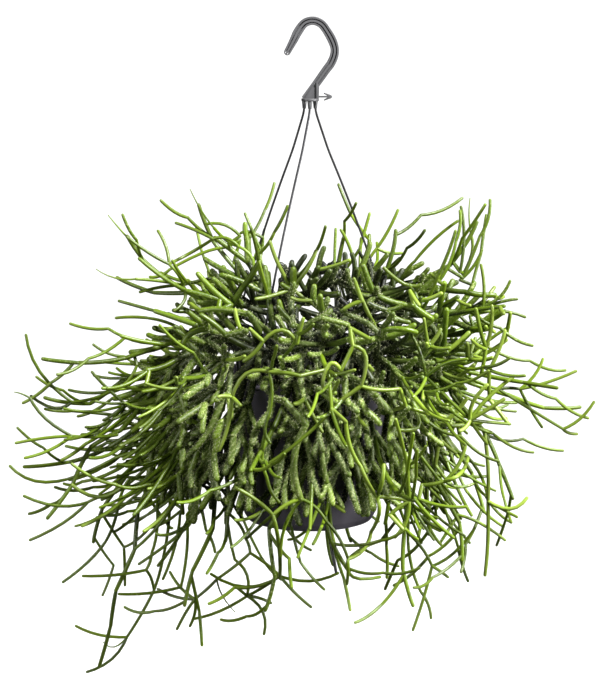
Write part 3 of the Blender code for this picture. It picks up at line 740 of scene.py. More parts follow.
def share_of_reach(point, thick):
    """How far out a point lies: 0 on the axis, 1 at the reach of the mound or of the longest stems."""
    height = min(max(seen_height(point), REACHES[-1][0]), REACHES[0][0])
    upper, lower = next(rows for rows in zip(REACHES, REACHES[1:]) if rows[1][0] <= height)
    t = (upper[0] - height) / (upper[0] - lower[0])
    row = [first + (second - first) * t for first, second in zip(upper, lower)]
    left, right = row[1 if thick else 2], row[3 if thick else 4]
    across = left if point.x < 0 else right
    return math.hypot(point.x / across, 2 * point.y / (left + right))


def within_bounds(point, thick):
    """Whether a twig may end here. The lower part of the pot is left to show between the thick ones."""
    over_pot = point.z < POT_SHOWS_BELOW and point.xy.length < POT_SHOWS_WITHIN
    if thick and over_pot:
        return False
    in_height = seen_height(point) > REACHES[-1][0] and point.z < FOLIAGE_TOP
    return in_height and share_of_reach(point, thick) < 1


print("how far out the lowest tip lies:", round(share_of_reach(Vector(TRAIL_TIPS[2]), False), 2))

# %% Fork twigs from the joints
TWIG_CORNER = 1.35
THICK_TWIG_RADIUS = 0.0026
THIN_TWIG_RADIUS = 0.0014
TWIG_NECK = 0.75
THICK_TWIGS = 175
THIN_TWIGS = 36
TWIG_START_ROOM = 0.003
OWN_PLANT_ROOM = 0.009
FACE_FAVOUR = 1.5
TWIG_CHOICES = 14
TWIG_ATTEMPTS = 140


def grow_twig(buds, thick, choices, space, draw):
    """Add one twig where the fewest others stand, from the free ways that some tries find."""
    radius = (THICK_TWIG_RADIUS if thick else THIN_TWIG_RADIUS) * TWIG_CORNER
    radii = [radius * TWIG_NECK, radius, radius * BLUNT_TIP]
    found = []
    for _ in range(TWIG_ATTEMPTS):
        bud = draw.choice(buds)
        points, heading = twig_line(bud, thick, draw)
        free = space.free(bud[0]["name"], points, radii, OWN_PLANT_ROOM, TWIG_START_ROOM)
        if free and within_bounds(points[-1], thick):
            crowd = space.crowding(points[-1]) * (FACE_FAVOUR - min(share_of_reach(points[-1], True), 1))
            found.append((crowd, len(found), bud, points, heading))
        if len(found) == choices:
            break
    if not found:
        return
    _, _, bud, points, heading = min(found)
    stem = bud[0]
    space.add(stem["name"], points, radii)
    stem["twigs"].append((points, thick))
    buds.append((stem, points[-1] - heading * BUD_OFFSET, heading))
    buds.append((stem, points[1] + heading * BUD_OFFSET, heading))


def grow_twigs(stems, space, draw):
    """Fork the ends of the leading shoots, fill the mound with thick twigs and fringe it with thin ones."""
    for stem in stems:
        for bud in leader_buds(stem)[-2:]:
            grow_twig([bud], False, 1, space, draw)
    buds = [bud for stem in stems for bud in leader_buds(stem)]
    for _ in range(THICK_TWIGS):
        grow_twig(buds, True, TWIG_CHOICES, space, draw)
    for _ in range(THIN_TWIGS):
        grow_twig(buds, False, TWIG_CHOICES, space, draw)


grow_twigs(stems, space, draw)
print("twigs of the plain model:", sum(len(stem["twigs"]) for stem in stems))

# %% Check the lines against the packed model
worst = 0.0
for stem in stems:
    low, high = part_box(stem["name"])
    places = stem["leader"][0] + [place for points, _ in stem["twigs"] for place in points]
    for axis in range(3):
        values = [place[axis] for place in places]
        worst = max(worst, abs(min(values) - low[axis]), abs(max(values) - high[axis]))
print("furthest that a line's end lies from its node's box:", round(worst * 1000, 2), "mm")

# %% [markdown]
# ## More stems
#
# The plain model carries only as many stems as a solid can. The real plant has several times more. They fork
# from the joints that are already there, one to four at a time and set round the joint, so a fork is a star
# as on the plant. There are thick stems that fill the mound, a curtain of thicker ones that hang before the
# pot, thin ones that fringe the mound, and short bright ones over its front and top, where the light
# reaches. A few shoots end in a tip as fine as a hair, and only the traced ones have it. A stem that finds
# no room at its full length is tried shorter, and a fork is tried at several joints and stands where the
# fewest others do.

# %% Describe the kinds of new stem
Habit = namedtuple("Habit", "radius length lean forks tries pull down shortest slack")
# Ranges of radius, length and lean in degrees, how many stems a fork may have, how many joints are tried, how
# strongly a stem is drawn outwards and down, how short it may get, and its range of slack.
HABIT_ROWS = {
    "thick": ((0.0020, 0.0030), (0.020, 0.040), (22, 56), (2, 2, 3), 12, 0.9, 0.0, 0.011, (1.06, 1.45)),
    "curtain": ((0.0025, 0.0033), (0.020, 0.046), (25, 65), (1, 2, 3), 14, 0.8, 0.6, 0.013, (0.92, 1.05)),
    "fringe": ((0.0013, 0.0018), (0.040, 0.080), (10, 36), (1, 1, 2, 2, 3), 7, 0.7, 0.0, 0.022, (1.05, 1.35)),
    "bright": ((0.0016, 0.0021), (0.016, 0.034), (35, 70), (2, 3, 3, 4), 8, 0.3, 0.0, 0.014, (1.00, 1.25)),
}
HABITS = {kind: Habit(*row) for kind, row in HABIT_ROWS.items()}
THICK_KINDS = ("thick", "curtain")
print("kinds of stem:", *HABITS)

# %% Keep new stems in their place
FRINGE_BOTTOM = -0.545
BRIGHT_FACE = (0.80, 1.12)
BRIGHT_BACK = 0.08
WIRE_SHOWS_BELOW = -0.190
WIRE_SHOWS_ABOVE = -0.296
WIRE_SHOWS_BESIDE = 0.0050
WIRE_SPANS = 8
REGION_MARGIN = 0.05


def may_end(point, kind, slack):
    """Whether a stem of this kind may end at a point. A slack past 1 keeps it further in than the bounds."""
    point = PLANT_HEART.lerp(point, slack)
    if not within_bounds(point, kind in THICK_KINDS):
        return False
    if kind == "fringe":
        return point.z > FRINGE_BOTTOM
    if kind == "bright":
        low, high = BRIGHT_FACE
        over_pot = point.z < POT_SHOWS_BELOW and point.xy.length < POT_SHOWS_WITHIN
        return low < share_of_reach(point, True) < high and not over_pot and point.y < BRIGHT_BACK
    return True


def hides_wire(start, end):
    """Whether a stem would stand before the front wire, which stays in sight down to the pot's rim."""
    route = wire_route("front")
    for step in range(WIRE_SPANS + 1):
        point = start.lerp(end, step / WIRE_SPANS)
        if not WIRE_SHOWS_ABOVE < point.z < WIRE_SHOWS_BELOW:
            continue
        for above, below in zip(route, route[1:]):
            if below.z <= point.z <= above.z:
                beside = above.lerp(below, (above.z - point.z) / (above.z - below.z))
                if point.y < beside.y and abs(point.x - beside.x) < WIRE_SHOWS_BESIDE:
                    return True
    return False


def near(point, region):
    """Whether a point lies in a box or within a stem's length of it."""
    sides = zip(point, *region)
    return all(low - REGION_MARGIN <= value <= high + REGION_MARGIN for value, low, high in sides)


def inside(point, region):
    """Whether a point lies in a box."""
    return all(low <= value <= high for value, low, high in zip(point, *region))


print("the front wire shows for", round((WIRE_SHOWS_BELOW - WIRE_SHOWS_ABOVE) * 1000), "mm of its height")

# %% Grow forks in a region
FORK_SWAY = 0.4
SHORTENING = 0.7


def fork_at(bud, kind, region, space, draw):
    """The free stems of one fork, each as its end, heading and radius."""
    habit = HABITS[kind]
    name, place, along = bud
    pull = pull_at(place, kind in THICK_KINDS) * habit.pull
    pull.z -= habit.down
    first = along.orthogonal().normalized()
    turn = draw.uniform(0, math.tau)
    count = draw.choice(habit.forks)
    found = []
    for index in range(count):
        across = first.copy()
        angle = turn + math.tau * index / count + draw.uniform(-FORK_SWAY, FORK_SWAY)
        across.rotate(Matrix.Rotation(angle, 3, along))
        lean = math.radians(draw.uniform(*habit.lean))
        heading = (along * math.cos(lean) + across * math.sin(lean) + pull).normalized()
        radius = draw.uniform(*habit.radius)
        slack = draw.uniform(*habit.slack)
        length = draw.uniform(*habit.length)
        while length > habit.shortest:
            end = place + heading * length
            fits = inside(end, region) and may_end(end, kind, slack) and not hides_wire(place, end)
            if fits and space.free(name, [place, end], [radius, radius], OWN_PLANT_ROOM, TWIG_START_ROOM):
                found.append((end, heading, radius))
                break
            length *= SHORTENING
    return found


def grow_forks(kind, count, region, every_bud, space, draw):
    """Add forks in a region until there are as many stems as asked for, and return them."""
    buds = [bud for bud in every_bud if near(bud[1], region)]
    known = len(buds)
    grown = []
    for _ in range(count):
        best = None
        for _ in range(HABITS[kind].tries):
            bud = draw.choice(buds)
            found = fork_at(bud, kind, region, space, draw)
            if found:
                crowd = sum(space.crowding(end, 1) for end, _, _ in found) / len(found) / len(found) ** 0.5
                if best is None or crowd < best[0]:
                    best = (crowd, bud, found)
        if best is None:
            continue
        _, (name, place, _), found = best
        for end, heading, radius in found:
            space.add(name, [place, end], [radius, radius])
            grown.append((name, place, end, radius, kind))
            buds.append((name, end - heading * radius, heading))
        if len(grown) >= count:
            break
    every_bud += buds[known:]
    return grown


# From here on stems may come closer to each other than the plain ones do.
STEM_CLEARANCE = 0.0002
buds = []
for stem in stems:
    buds += [(stem["name"], place, along) for _, place, along in leader_buds(stem)]
    for points, _ in stem["twigs"]:
        for first, second in zip(points, points[1:]):
            heading = (second - first).normalized()
            buds.append((stem["name"], second - heading * BUD_OFFSET / 2, heading))
print("joints to fork from:", len(buds))

# %% [markdown]
# ## The stems that the photograph shows one by one
#
# Round the edge of the plant and in front of it, single stems stand out, and they give the plant its outline.
# They are traced. Each row gives a kind, the depths at which the shoot starts and ends, both in
# millimetres behind the pot's axis, and then places in the picture, in pixels. The places are a joint, the
# middle of a rod, the next joint, and so on. A joint that was named before is met again, so that arms share
# it. A shoot that starts anew is tied to the nearest joint of a rooted stem, inside the mound.

# %% List the traced shoots
TRACES = [
    ("fringe", -20, -30, (230, 276), (207, 279), (183, 285)),
    ("fringe", 0, -30, (183, 285), (178, 274), (169, 264), (149, 253), (127, 237)),
    ("hair", 0, -30, (127, 237), (118, 227), (108, 215)),
    ("fringe", 0, -50, (183, 285), (160, 281), (136, 279)),
    ("hair", 0, -50, (136, 279), (115, 278), (96, 269)),
    ("fringe", 0, -40, (183, 285), (161, 287), (140, 292)),
    ("fringe", 0, -30, (169, 264), (166, 247), (158, 231)),
    ("fringe", 0, -50, (183, 285), (185, 299), (174, 311)),
    ("fringe", -60, -50, (250, 280), (253, 260), (238, 246), (226, 238), (213, 239)),
    ("fringe", 0, -40, (213, 239), (195, 230), (176, 223)),
    ("fringe", 0, 0, (213, 239), (192, 252), (169, 264)),
    ("fringe", 0, -20, (238, 246), (226, 240), (214, 228)),
    ("hair", 0, -20, (214, 228), (201, 210), (190, 189)),
    ("fringe", 20, 30, (240, 240), (231, 245), (222, 248), (200, 254), (169, 270), (160, 276), (150, 277)),
    ("fringe", 20, 20, (240, 236), (225, 225), (207, 224)),
    ("thick", -70, -60, (196, 325), (176, 318), (155, 311)),
    ("fringe", 0, -50, (155, 311), (137, 306), (119, 301)),
    ("fringe", 0, 0, (183, 330), (166, 322), (148, 318), (132, 317), (116, 318)),
    ("fringe", 30, 40, (150, 364), (127, 364), (103, 362)),
    ("fringe", -30, -30, (123, 402), (107, 388), (92, 372)),
    ("fringe", -20, -20, (137, 365), (128, 381), (115, 389), (95, 398), (72, 402), (40, 372), (26, 335)),
    ("fringe", 0, -10, (72, 402), (54, 408), (31, 396)),
    ("fringe", 20, 30, (107, 392), (88, 393), (69, 390)),
    ("fringe", -60, -50, (117, 435), (95, 437), (72, 436), (46, 419), (30, 398)),
    ("hair", 0, -50, (30, 398), (22, 394), (14, 392)),
    ("fringe", 0, -50, (72, 436), (45, 438), (16, 443)),
    ("fringe", 0, -70, (72, 436), (50, 450), (25, 458)),
    ("fringe", 0, -10, (121, 416), (96, 413), (72, 411), (58, 411), (45, 409)),
    ("fringe", -50, -30, (150, 445), (135, 451), (115, 458), (92, 470), (68, 479), (35, 481), (10, 466)),
    ("fringe", -70, -60, (160, 470), (145, 480), (130, 487), (109, 493), (88, 502), (63, 523), (30, 540)),
    ("fringe", 0, -60, (88, 502), (58, 506), (24, 496)),
    ("fringe", -30, -20, (130, 478), (122, 492), (118, 508), (113, 526), (106, 541), (88, 562), (63, 582)),
    ("bright", -90, -80, (122, 487), (98, 497), (72, 485)),
    ("fringe", -30, -30, (157, 500), (157, 530), (152, 552), (150, 562), (146, 570)),
    ("fringe", 0, -30, (146, 570), (115, 575), (83, 576)),
    ("fringe", 0, 0, (170, 500), (168, 530), (163, 558), (159, 575), (154, 590), (142, 613), (127, 637)),
    ("fringe", 0, 0, (127, 637), (112, 659), (87, 672)),
    ("fringe", 0, 0, (146, 570), (151, 578), (154, 590)),
    ("fringe", 0, 0, (127, 637), (100, 635), (76, 626)),
    ("hair", 0, 0, (127, 637), (114, 647), (103, 642)),
    ("fringe", -50, -50, (187, 515), (187, 550), (181, 587), (150, 593), (119, 594)),
    ("fringe", -10, -10, (180, 515), (175, 546), (163, 579)),
    ("fringe", -60, -60, (190, 524), (170, 542), (139, 564)),
    ("fringe", -60, -60, (200, 500), (203, 515), (206, 530), (212, 541), (215, 552)),
    ("fringe", -50, -60, (205, 480), (218, 495), (228, 513), (240, 525), (246, 539), (249, 546), (250, 553)),
    ("fringe", 0, -70, (250, 553), (265, 563), (280, 576), (310, 581), (338, 573)),
    ("fringe", 0, -60, (280, 576), (246, 587), (211, 574)),
    ("fringe", 0, -80, (280, 576), (294, 592), (311, 607)),
    ("fringe", 0, -50, (250, 553), (235, 566), (217, 579), (207, 589), (195, 599), (186, 612), (177, 629)),
    ("fringe", 0, -50, (195, 599), (195, 612), (190, 626)),
    ("fringe", 0, -40, (195, 599), (176, 597), (158, 589)),
    ("fringe", 0, -40, (195, 599), (181, 588), (170, 572)),
    ("hair", 0, -40, (217, 579), (222, 595), (235, 612)),
    ("fringe", -40, -40, (226, 490), (228, 525), (235, 560), (247, 575), (247, 596), (220, 611), (193, 619)),
    ("fringe", 0, -40, (247, 596), (263, 612), (264, 634)),
    ("fringe", 0, -30, (247, 596), (259, 598), (271, 603)),
    ("fringe", 0, -50, (247, 596), (241, 591), (236, 587)),
    ("fringe", 0, -60, (247, 596), (262, 588), (280, 576)),
    ("curtain", -150, -150, (306, 425), (294, 460), (301, 499)),
    ("bright", 0, -150, (301, 499), (286, 505), (273, 515), (256, 500), (236, 488)),
    ("bright", 0, -120, (273, 515), (279, 545), (280, 576)),
    ("fringe", 0, -80, (273, 515), (259, 527), (246, 539)),
    ("fringe", 0, -135, (301, 499), (285, 526), (281, 556)),
    ("fringe", 0, -135, (301, 499), (315, 507), (326, 521), (339, 538), (348, 559)),
    ("fringe", 0, -90, (348, 559), (348, 572), (347, 584)),
    ("fringe", 0, -90, (348, 559), (353, 577), (380, 577)),
    ("bright", 0, -100, (348, 559), (364, 549), (371, 532)),
    ("fringe", 0, -40, (348, 559), (363, 548), (381, 541)),
    ("fringe", -50, -50, (326, 515), (328, 545), (333, 565)),
    ("fringe", -20, -20, (407, 480), (408, 510), (408, 540), (412, 568), (421, 592), (428, 604), (431, 618)),
    ("fringe", -50, -50, (395, 522), (418, 543), (432, 566), (424, 597), (413, 630)),
    ("fringe", 0, -50, (432, 566), (454, 553), (475, 528)),
    ("fringe", 0, -60, (432, 566), (440, 571), (448, 577)),
    ("fringe", 0, 10, (436, 488), (449, 520), (458, 547), (462, 564), (468, 581)),
    ("bright", -60, -60, (484, 430), (488, 466), (488, 501), (488, 540), (485, 575)),
    ("bright", 0, -60, (488, 501), (510, 509), (527, 498)),
    ("fringe", 0, -30, (468, 457), (482, 478), (488, 501), (500, 508), (517, 517)),
    ("fringe", -10, 0, (458, 515), (480, 523), (505, 540)),
    ("bright", -140, -130, (390, 515), (398, 508), (409, 501), (406, 521), (395, 537)),
    ("bright", 0, -140, (409, 501), (395, 498), (377, 497)),
    ("bright", 0, -150, (409, 501), (408, 482), (407, 465)),
    ("bright", -100, -100, (422, 485), (434, 484), (445, 481), (459, 464), (466, 443)),
    ("bright", 0, -90, (445, 481), (461, 473), (468, 457)),
    ("fringe", 0, -90, (445, 481), (458, 487), (473, 484)),
    ("fringe", -30, -20, (450, 366), (474, 380), (498, 389), (530, 409), (563, 429), (580, 419), (594, 402)),
    ("fringe", 0, -20, (563, 429), (569, 433), (577, 434)),
    ("fringe", 0, -30, (498, 389), (509, 388), (520, 389), (548, 382), (576, 371)),
    ("fringe", 0, -30, (520, 389), (534, 376), (543, 359)),
    ("fringe", 0, -30, (520, 389), (530, 408), (542, 427)),
    ("fringe", -120, -110, (412, 336), (421, 355), (426, 377), (448, 399), (470, 420)),
    ("fringe", 0, -130, (426, 377), (444, 364), (467, 359)),
    ("fringe", 0, -140, (426, 377), (421, 388), (413, 397)),
    ("bright", 0, -100, (470, 420), (488, 398), (513, 377)),
    ("bright", 0, -110, (470, 420), (487, 410), (504, 399)),
    ("fringe", 0, -90, (470, 420), (488, 422), (510, 424)),
    ("bright", 0, -120, (470, 420), (473, 402), (487, 385)),
    ("bright", 0, -120, (470, 420), (466, 427), (460, 431)),
    ("fringe", 0, -90, (470, 420), (478, 432), (487, 444)),
    ("bright", -80, -90, (490, 400), (489, 384), (490, 369), (499, 350), (505, 331)),
    ("bright", -70, -80, (481, 375), (484, 361), (486, 347), (491, 328), (492, 306)),
    ("bright", 0, -90, (486, 347), (480, 329), (476, 309)),
    ("fringe", 0, 0, (468, 379), (477, 360), (488, 341), (499, 333), (509, 327)),
    ("fringe", -40, -40, (463, 278), (472, 257), (480, 236), (488, 219), (490, 200)),
    ("fringe", 10, 10, (463, 274), (472, 253), (471, 235)),
    ("hair", 0, 10, (471, 235), (469, 216), (470, 198)),
    ("fringe", -10, -10, (460, 272), (464, 238), (461, 207)),
    ("fringe", -60, -60, (440, 280), (450, 262), (456, 241), (460, 226), (460, 211)),
    ("fringe", 0, 0, (402, 283), (406, 271), (415, 261), (435, 239), (458, 221)),
    ("fringe", 30, 30, (460, 280), (473, 267), (482, 250)),
    ("fringe", -50, -50, (470, 313), (483, 307), (496, 300), (504, 292), (510, 281)),
    ("fringe", -30, -30, (483, 307), (484, 286), (481, 265)),
    ("fringe", 0, 0, (460, 316), (493, 304), (517, 299)),
    ("fringe", 20, 20, (470, 316), (498, 311), (525, 317)),
    ("bright", -100, -100, (308, 300), (301, 296), (292, 288), (279, 266), (270, 242)),
    ("bright", 0, -100, (292, 288), (306, 271), (316, 251)),
    ("bright", 0, -120, (292, 288), (275, 295), (256, 299)),
    ("thick", -60, -60, (352, 285), (355, 268), (352, 254)),
    ("fringe", 0, -60, (352, 254), (347, 241), (341, 230)),
    ("thick", -80, -80, (356, 300), (355, 288), (356, 276), (364, 262), (370, 244)),
    ("fringe", 20, 20, (366, 264), (371, 256), (377, 248), (388, 231), (398, 210)),
    ("fringe", 0, 20, (377, 248), (389, 253), (402, 253)),
    ("bright", -170, -170, (297, 343), (282, 330), (263, 341), (255, 352), (244, 361)),
    ("bright", 0, -180, (263, 341), (256, 335), (250, 329)),
    ("bright", -170, -160, (300, 376), (286, 373), (269, 372), (246, 374), (232, 397), (228, 425),
     (219, 450)),
    ("bright", 0, -170, (232, 397), (225, 396), (218, 397)),
    ("bright", 0, -170, (232, 397), (236, 401), (240, 405)),
    ("fringe", 0, -165, (269, 372), (272, 396), (267, 420), (265, 432), (270, 443)),
    ("fringe", -160, -150, (265, 434), (262, 457), (267, 478), (271, 491), (279, 502)),
    ("bright", -165, -150, (346, 422), (350, 446), (361, 467), (368, 483), (377, 497), (382, 482),
     (384, 465)),
    ("bright", 0, -145, (377, 497), (379, 514), (371, 532)),
    ("bright", -170, -170, (350, 328), (351, 337), (353, 346), (366, 357), (361, 386), (350, 394),
     (340, 401)),
    ("bright", 0, -160, (361, 386), (379, 390), (399, 389)),
    ("bright", 0, -170, (353, 346), (347, 358), (341, 370), (332, 363), (325, 373), (323, 380), (324, 389)),
    ("bright", -140, -140, (428, 414), (417, 410), (406, 407), (400, 408), (394, 410)),
    ("bright", 0, -150, (406, 407), (403, 398), (400, 389)),
    ("bright", -130, -140, (415, 410), (418, 427), (398, 430)),
    ("bright", -130, -130, (423, 399), (432, 411), (445, 417)),
    ("thick", -50, -50, (253, 277), (252, 269), (247, 262), (229, 248), (215, 238)),
    ("thick", -40, -40, (247, 262), (247, 246), (246, 236), (245, 230), (245, 224)),
    ("fringe", -30, -30, (259, 262), (262, 249), (263, 238), (250, 232), (241, 233)),
    ("fringe", -50, -50, (269, 291), (269, 270), (263, 254)),
    ("fringe", -60, -60, (261, 285), (262, 271), (262, 264)),
    ("thick", -60, -60, (246, 279), (241, 269), (236, 260)),
    ("thick", -90, -90, (231, 305), (214, 291), (198, 274)),
    ("thick", -60, -50, (238, 277), (220, 268), (205, 259)),
    ("thick", -70, -70, (260, 291), (238, 280), (221, 275)),
    ("thick", -90, -90, (220, 300), (203, 295), (187, 291)),
    ("thick", -120, -110, (234, 311), (217, 309), (200, 311)),
    ("thick", -60, -60, (287, 303), (286, 291), (281, 280)),
    ("thick", -40, -40, (290, 282), (291, 269), (292, 262)),
    ("thick", 0, -40, (290, 282), (287, 271), (280, 264)),
    ("thick", 0, -40, (290, 282), (297, 268), (305, 256)),
    ("thick", -40, -40, (316, 303), (317, 285), (318, 272), (320, 259), (324, 248)),
    ("thick", 0, -50, (318, 272), (325, 271), (332, 265)),
    ("thick", -50, -50, (317, 286), (312, 277), (307, 271)),
    ("thick", -50, -50, (322, 288), (329, 280), (336, 274)),
    ("thick", -70, -70, (303, 303), (307, 297), (312, 291)),
    ("thick", -50, -50, (344, 282), (345, 267), (345, 254)),
    ("thick", -50, -50, (371, 279), (370, 269), (367, 259)),
    ("thick", -40, -40, (371, 274), (379, 265), (387, 255)),
    ("thick", -30, -30, (388, 271), (394, 265), (400, 259)),
    ("thick", -50, -50, (393, 287), (393, 277), (394, 270)),
    ("bright", -90, -90, (420, 285), (404, 284), (384, 268)),
    ("bright", -110, -120, (372, 320), (364, 304), (354, 279)),
    ("thick", -110, -110, (368, 303), (379, 308), (390, 311)),
    ("bright", -120, -120, (362, 301), (353, 304), (344, 309)),
    ("thick", -120, -120, (368, 323), (354, 317), (342, 311)),
    ("thick", -130, -130, (303, 329), (311, 322), (321, 318), (334, 321), (348, 325)),
    ("thick", 0, -120, (303, 329), (296, 326), (290, 320)),
    ("thick", -130, -130, (293, 326), (280, 327), (267, 331)),
    ("bright", -130, -130, (240, 328), (237, 320), (235, 310)),
    ("thick", -120, -120, (260, 332), (258, 323), (256, 315)),
    ("thick", -130, -130, (226, 335), (214, 324), (201, 315)),
    ("thick", -120, -120, (208, 329), (192, 333), (183, 343)),
    ("thick", -90, -90, (410, 286), (394, 291), (377, 297)),
    ("thick", -100, -100, (380, 297), (397, 303), (417, 306)),
    ("thick", -130, -130, (384, 330), (400, 329), (416, 332)),
    ("bright", -150, -150, (350, 329), (353, 337), (354, 344)),
    ("bright", -100, -110, (410, 291), (414, 298), (419, 305)),
]
print("traced shoots:", len(TRACES))

# %% Find the place of a traced shoot
def from_picture(spot, depth):
    """The point that the camera sees at a pixel, at a depth behind the pot's axis."""
    across = (spot[0] - PICTURE_WIDTH / 2) * PIXEL / CAMERA_DISTANCE
    up = (PICTURE_HEIGHT / 2 - spot[1]) * PIXEL / CAMERA_DISTANCE
    heading = Vector((across, up, -1.0))
    heading.rotate(camera.rotation_euler)
    return camera.location + heading * ((depth - camera.location.y) / heading.y)


def place_trace(spots, start_depth, end_depth, shift):
    """A traced shoot's points. Known joints stay, and the depth runs evenly from the first to the last."""
    start_depth = joints[spots[0]][1].y if spots[0] in joints else start_depth / 1000
    end_depth = end_depth / 1000
    last = len(spots) - 1
    points = []
    for index, spot in enumerate(spots):
        depth = start_depth + (end_depth - start_depth) * index / last + (shift if index else 0.0)
        points.append(joints[spot][1] if spot in joints else from_picture(spot, depth))
    return points


def clear_trace(name, points, radius):
    """How many of a shoot's rods are clear of everything else."""
    rows = [points[index : index + 3] for index in range(0, len(points) - 1, 2)]
    return sum(space.free(name, row, [radius] * 3, OWN_PLANT_ROOM, TWIG_START_ROOM) for row in rows)


print("middle of the picture:", from_picture((PICTURE_WIDTH / 2, PICTURE_HEIGHT / 2), 0.0))

# %% Trace them
DEPTH_STEPS = (0.0, -0.004, 0.004, -0.008, 0.008, -0.013, 0.013, -0.019, 0.019, -0.026, 0.026)
JOINED_WITHIN = 0.004
ROD_TAPER = 0.92
HAIR_TAPER = 0.45
HAIR_RADIUS = 0.0010

# Each known joint's stem and place, by its place in the picture.
joints = {}
traced = []
clear = 0
hidden = 0
for kind, start_depth, end_depth, *spots in TRACES:
    radius = HAIR_RADIUS if kind == "hair" else sum(HABITS[kind].radius) / 2
    root = place_trace(spots, start_depth, end_depth, 0.0)[0]
    name, bud, heading = min(buds, key=lambda bud: (bud[1] - root).length)
    if spots[0] in joints:
        name = joints[spots[0]][0]
    choices = [place_trace(spots, start_depth, end_depth, shift) for shift in DEPTH_STEPS]
    points = max(choices, key=lambda choice: clear_trace(name, choice, radius))
    clear += clear_trace(name, points, radius)
    if spots[0] not in joints and (bud - root).length > JOINED_WITHIN:
        traced.append((name, bud, (bud + root) / 2, root, (radius, radius), kind))
        space.add(name, [bud, root], [radius] * 2)
    for index in range(0, len(points) - 1, 2):
        start, middle, end = points[index : index + 3]
        if kind != "bright" and hides_wire(start, end):
            hidden += 1
            continue
        tip = radius * (HAIR_TAPER if kind == "hair" else ROD_TAPER)
        traced.append((name, start, 2 * middle - (start + end) / 2, end, (radius, tip), kind))
        space.add(name, [start, middle, end], [radius] * 3)
        along = (end - middle).normalized()
        joints[spots[index]] = (name, start)
        joints[spots[index + 2]] = (name, end)
        buds.append((name, end - along * radius, along))
print("traced rods:", len(traced), "clear of the others:", clear, "left out before the wire:", hidden)

# %% [markdown]
# ## The rest of the mound
#
# What isn't traced is grown by the rule, region by region: first the curtain before the pot, because its
# stems need the most room, then the thick stems of the mound, and the thin and the bright ones last. A
# region is a box, given by its two corners.

# %% Grow it
EVERYWHERE = ((-0.3, -0.3, -0.6), (0.3, 0.3, 0.0))
POT_FRONT = ((-0.110, -0.140, -0.440), (0.090, -0.060, -0.290))
CROWN = ((-0.120, -0.120, -0.280), (0.130, 0.080, -0.190))
LEFT_FRINGE = ((-0.265, -0.160, -0.500), (-0.130, 0.160, -0.300))
RIGHT_NET = ((0.090, -0.160, -0.480), (0.250, 0.120, -0.340))
LOW_RIGHT = ((0.090, -0.120, -0.490), (0.190, 0.100, -0.400))
GROWTH = [
    ("curtain", 150, POT_FRONT),
    ("thick", 750, EVERYWHERE),
    ("thick", 60, CROWN),
    ("curtain", 60, POT_FRONT),
    ("thick", 400, EVERYWHERE),
    ("fringe", 75, LEFT_FRINGE),
    ("fringe", 30, LOW_RIGHT),
    ("fringe", 40, EVERYWHERE),
    ("bright", 10, RIGHT_NET),
    ("bright", 90, EVERYWHERE),
]

grown = []
for kind, count, region in GROWTH:
    found = grow_forks(kind, count, region, buds, space, draw)
    grown += found
    print(kind, "stems:", len(found), "of", count)

# %% [markdown]
# ## One length of stem
#
# A mistletoe cactus is built of short rods that meet at joints. Each rod is a little narrower where it leaves
# its joint, and ends in a blunt dome. A smooth and a bristly rod are swept once, straight and with few faces,
# because they will be repeated some 2,700 times. Heights from 0 to 1 run along the rod. What lies below 0 or
# above 1 is its domed end, counted in radii, so that long and short rods have ends of the same shape. The
# bristly rod has low bumps in staggered rows, where the bristles will sit.

# %% Sweep the rods
SMOOTH_SIDES = 7
# Each row of a profile: the height on the rod, and the radius there.
SMOOTH_PROFILE = [
    (-0.70, 0.45),
    (-0.30, 0.80),
    (0.03, 0.88),
    (0.14, 0.97),
    (0.32, 1.00),
    (0.50, 1.00),
    (0.68, 1.00),
    (0.86, 0.98),
    (1.00, 0.94),
    (1.45, 0.78),
    (1.80, 0.40),
]
BRISTLY_SIDES = 8
BRISTLY_FOOT = [(-0.70, 0.45), (-0.25, 0.85)]
BRISTLY_TIP = [(1.00, 0.92), (1.50, 0.76), (1.85, 0.38)]
BRISTLY_ROWS = 8
BUMP_HEIGHT = 0.035


def rod(profile, sides, bump):
    """A straight rod. Its bumps stand on every second corner, and shift by a corner from row to row."""
    rings = []
    for row, (height, radius) in enumerate(profile):
        ring = []
        for side in range(sides):
            angle = math.tau * side / sides
            raised = bump if 0 < height < 1 and (row + side) % 2 == 0 else 0.0
            reach = radius * (1 + raised)
            ring.append((reach * math.cos(angle), reach * math.sin(angle), height))
        rings.append(ring)
    return sweep(rings)


def arrays_of(shape):
    """A bmesh's points, its faces' corner counts and their corners, as arrays."""
    shape.verts.index_update()
    points = np.array([spot.co[:] for spot in shape.verts])
    counts = np.array([len(face.verts) for face in shape.faces])
    corners = np.array([spot.index for face in shape.faces for spot in face.verts])
    shape.free()
    return points, counts, corners


smooth_rod = arrays_of(rod(SMOOTH_PROFILE, SMOOTH_SIDES, 0.0))
rows = [((row + 0.5) / BRISTLY_ROWS, 1.0) for row in range(BRISTLY_ROWS)]
bristly_rod = arrays_of(rod(BRISTLY_FOOT + rows + BRISTLY_TIP, BRISTLY_SIDES, BUMP_HEIGHT))
print("faces of a smooth rod:", len(smooth_rod[1]), "and of a bristly one:", len(bristly_rod[1]))

# %% [markdown]
# ## Laying rods along the lines
#
# A rod on the plant is hardly ever straight: it sags and lifts again at its end. Three points give each one a
# gentle arc, and an arc of three points lies in a plane, so the rod can be bent along it without a twist. The
# arrays bend all rods of a stem at once, which takes a moment where a loop would take minutes. The mesh also
# keeps what the finish needs to know at each point: how old the rod is, a chance value of its own, and where
# on the rod the point lies.

# %% Bend copies of a rod
ANY_DIRECTION = np.array([0.31, 0.52, 0.79])
NEXT_TO_NOTHING = 1e-9


def unit(vectors):
    """Vectors scaled to a length of one."""
    return vectors / np.maximum(np.linalg.norm(vectors, axis=-1, keepdims=True), 1e-12)


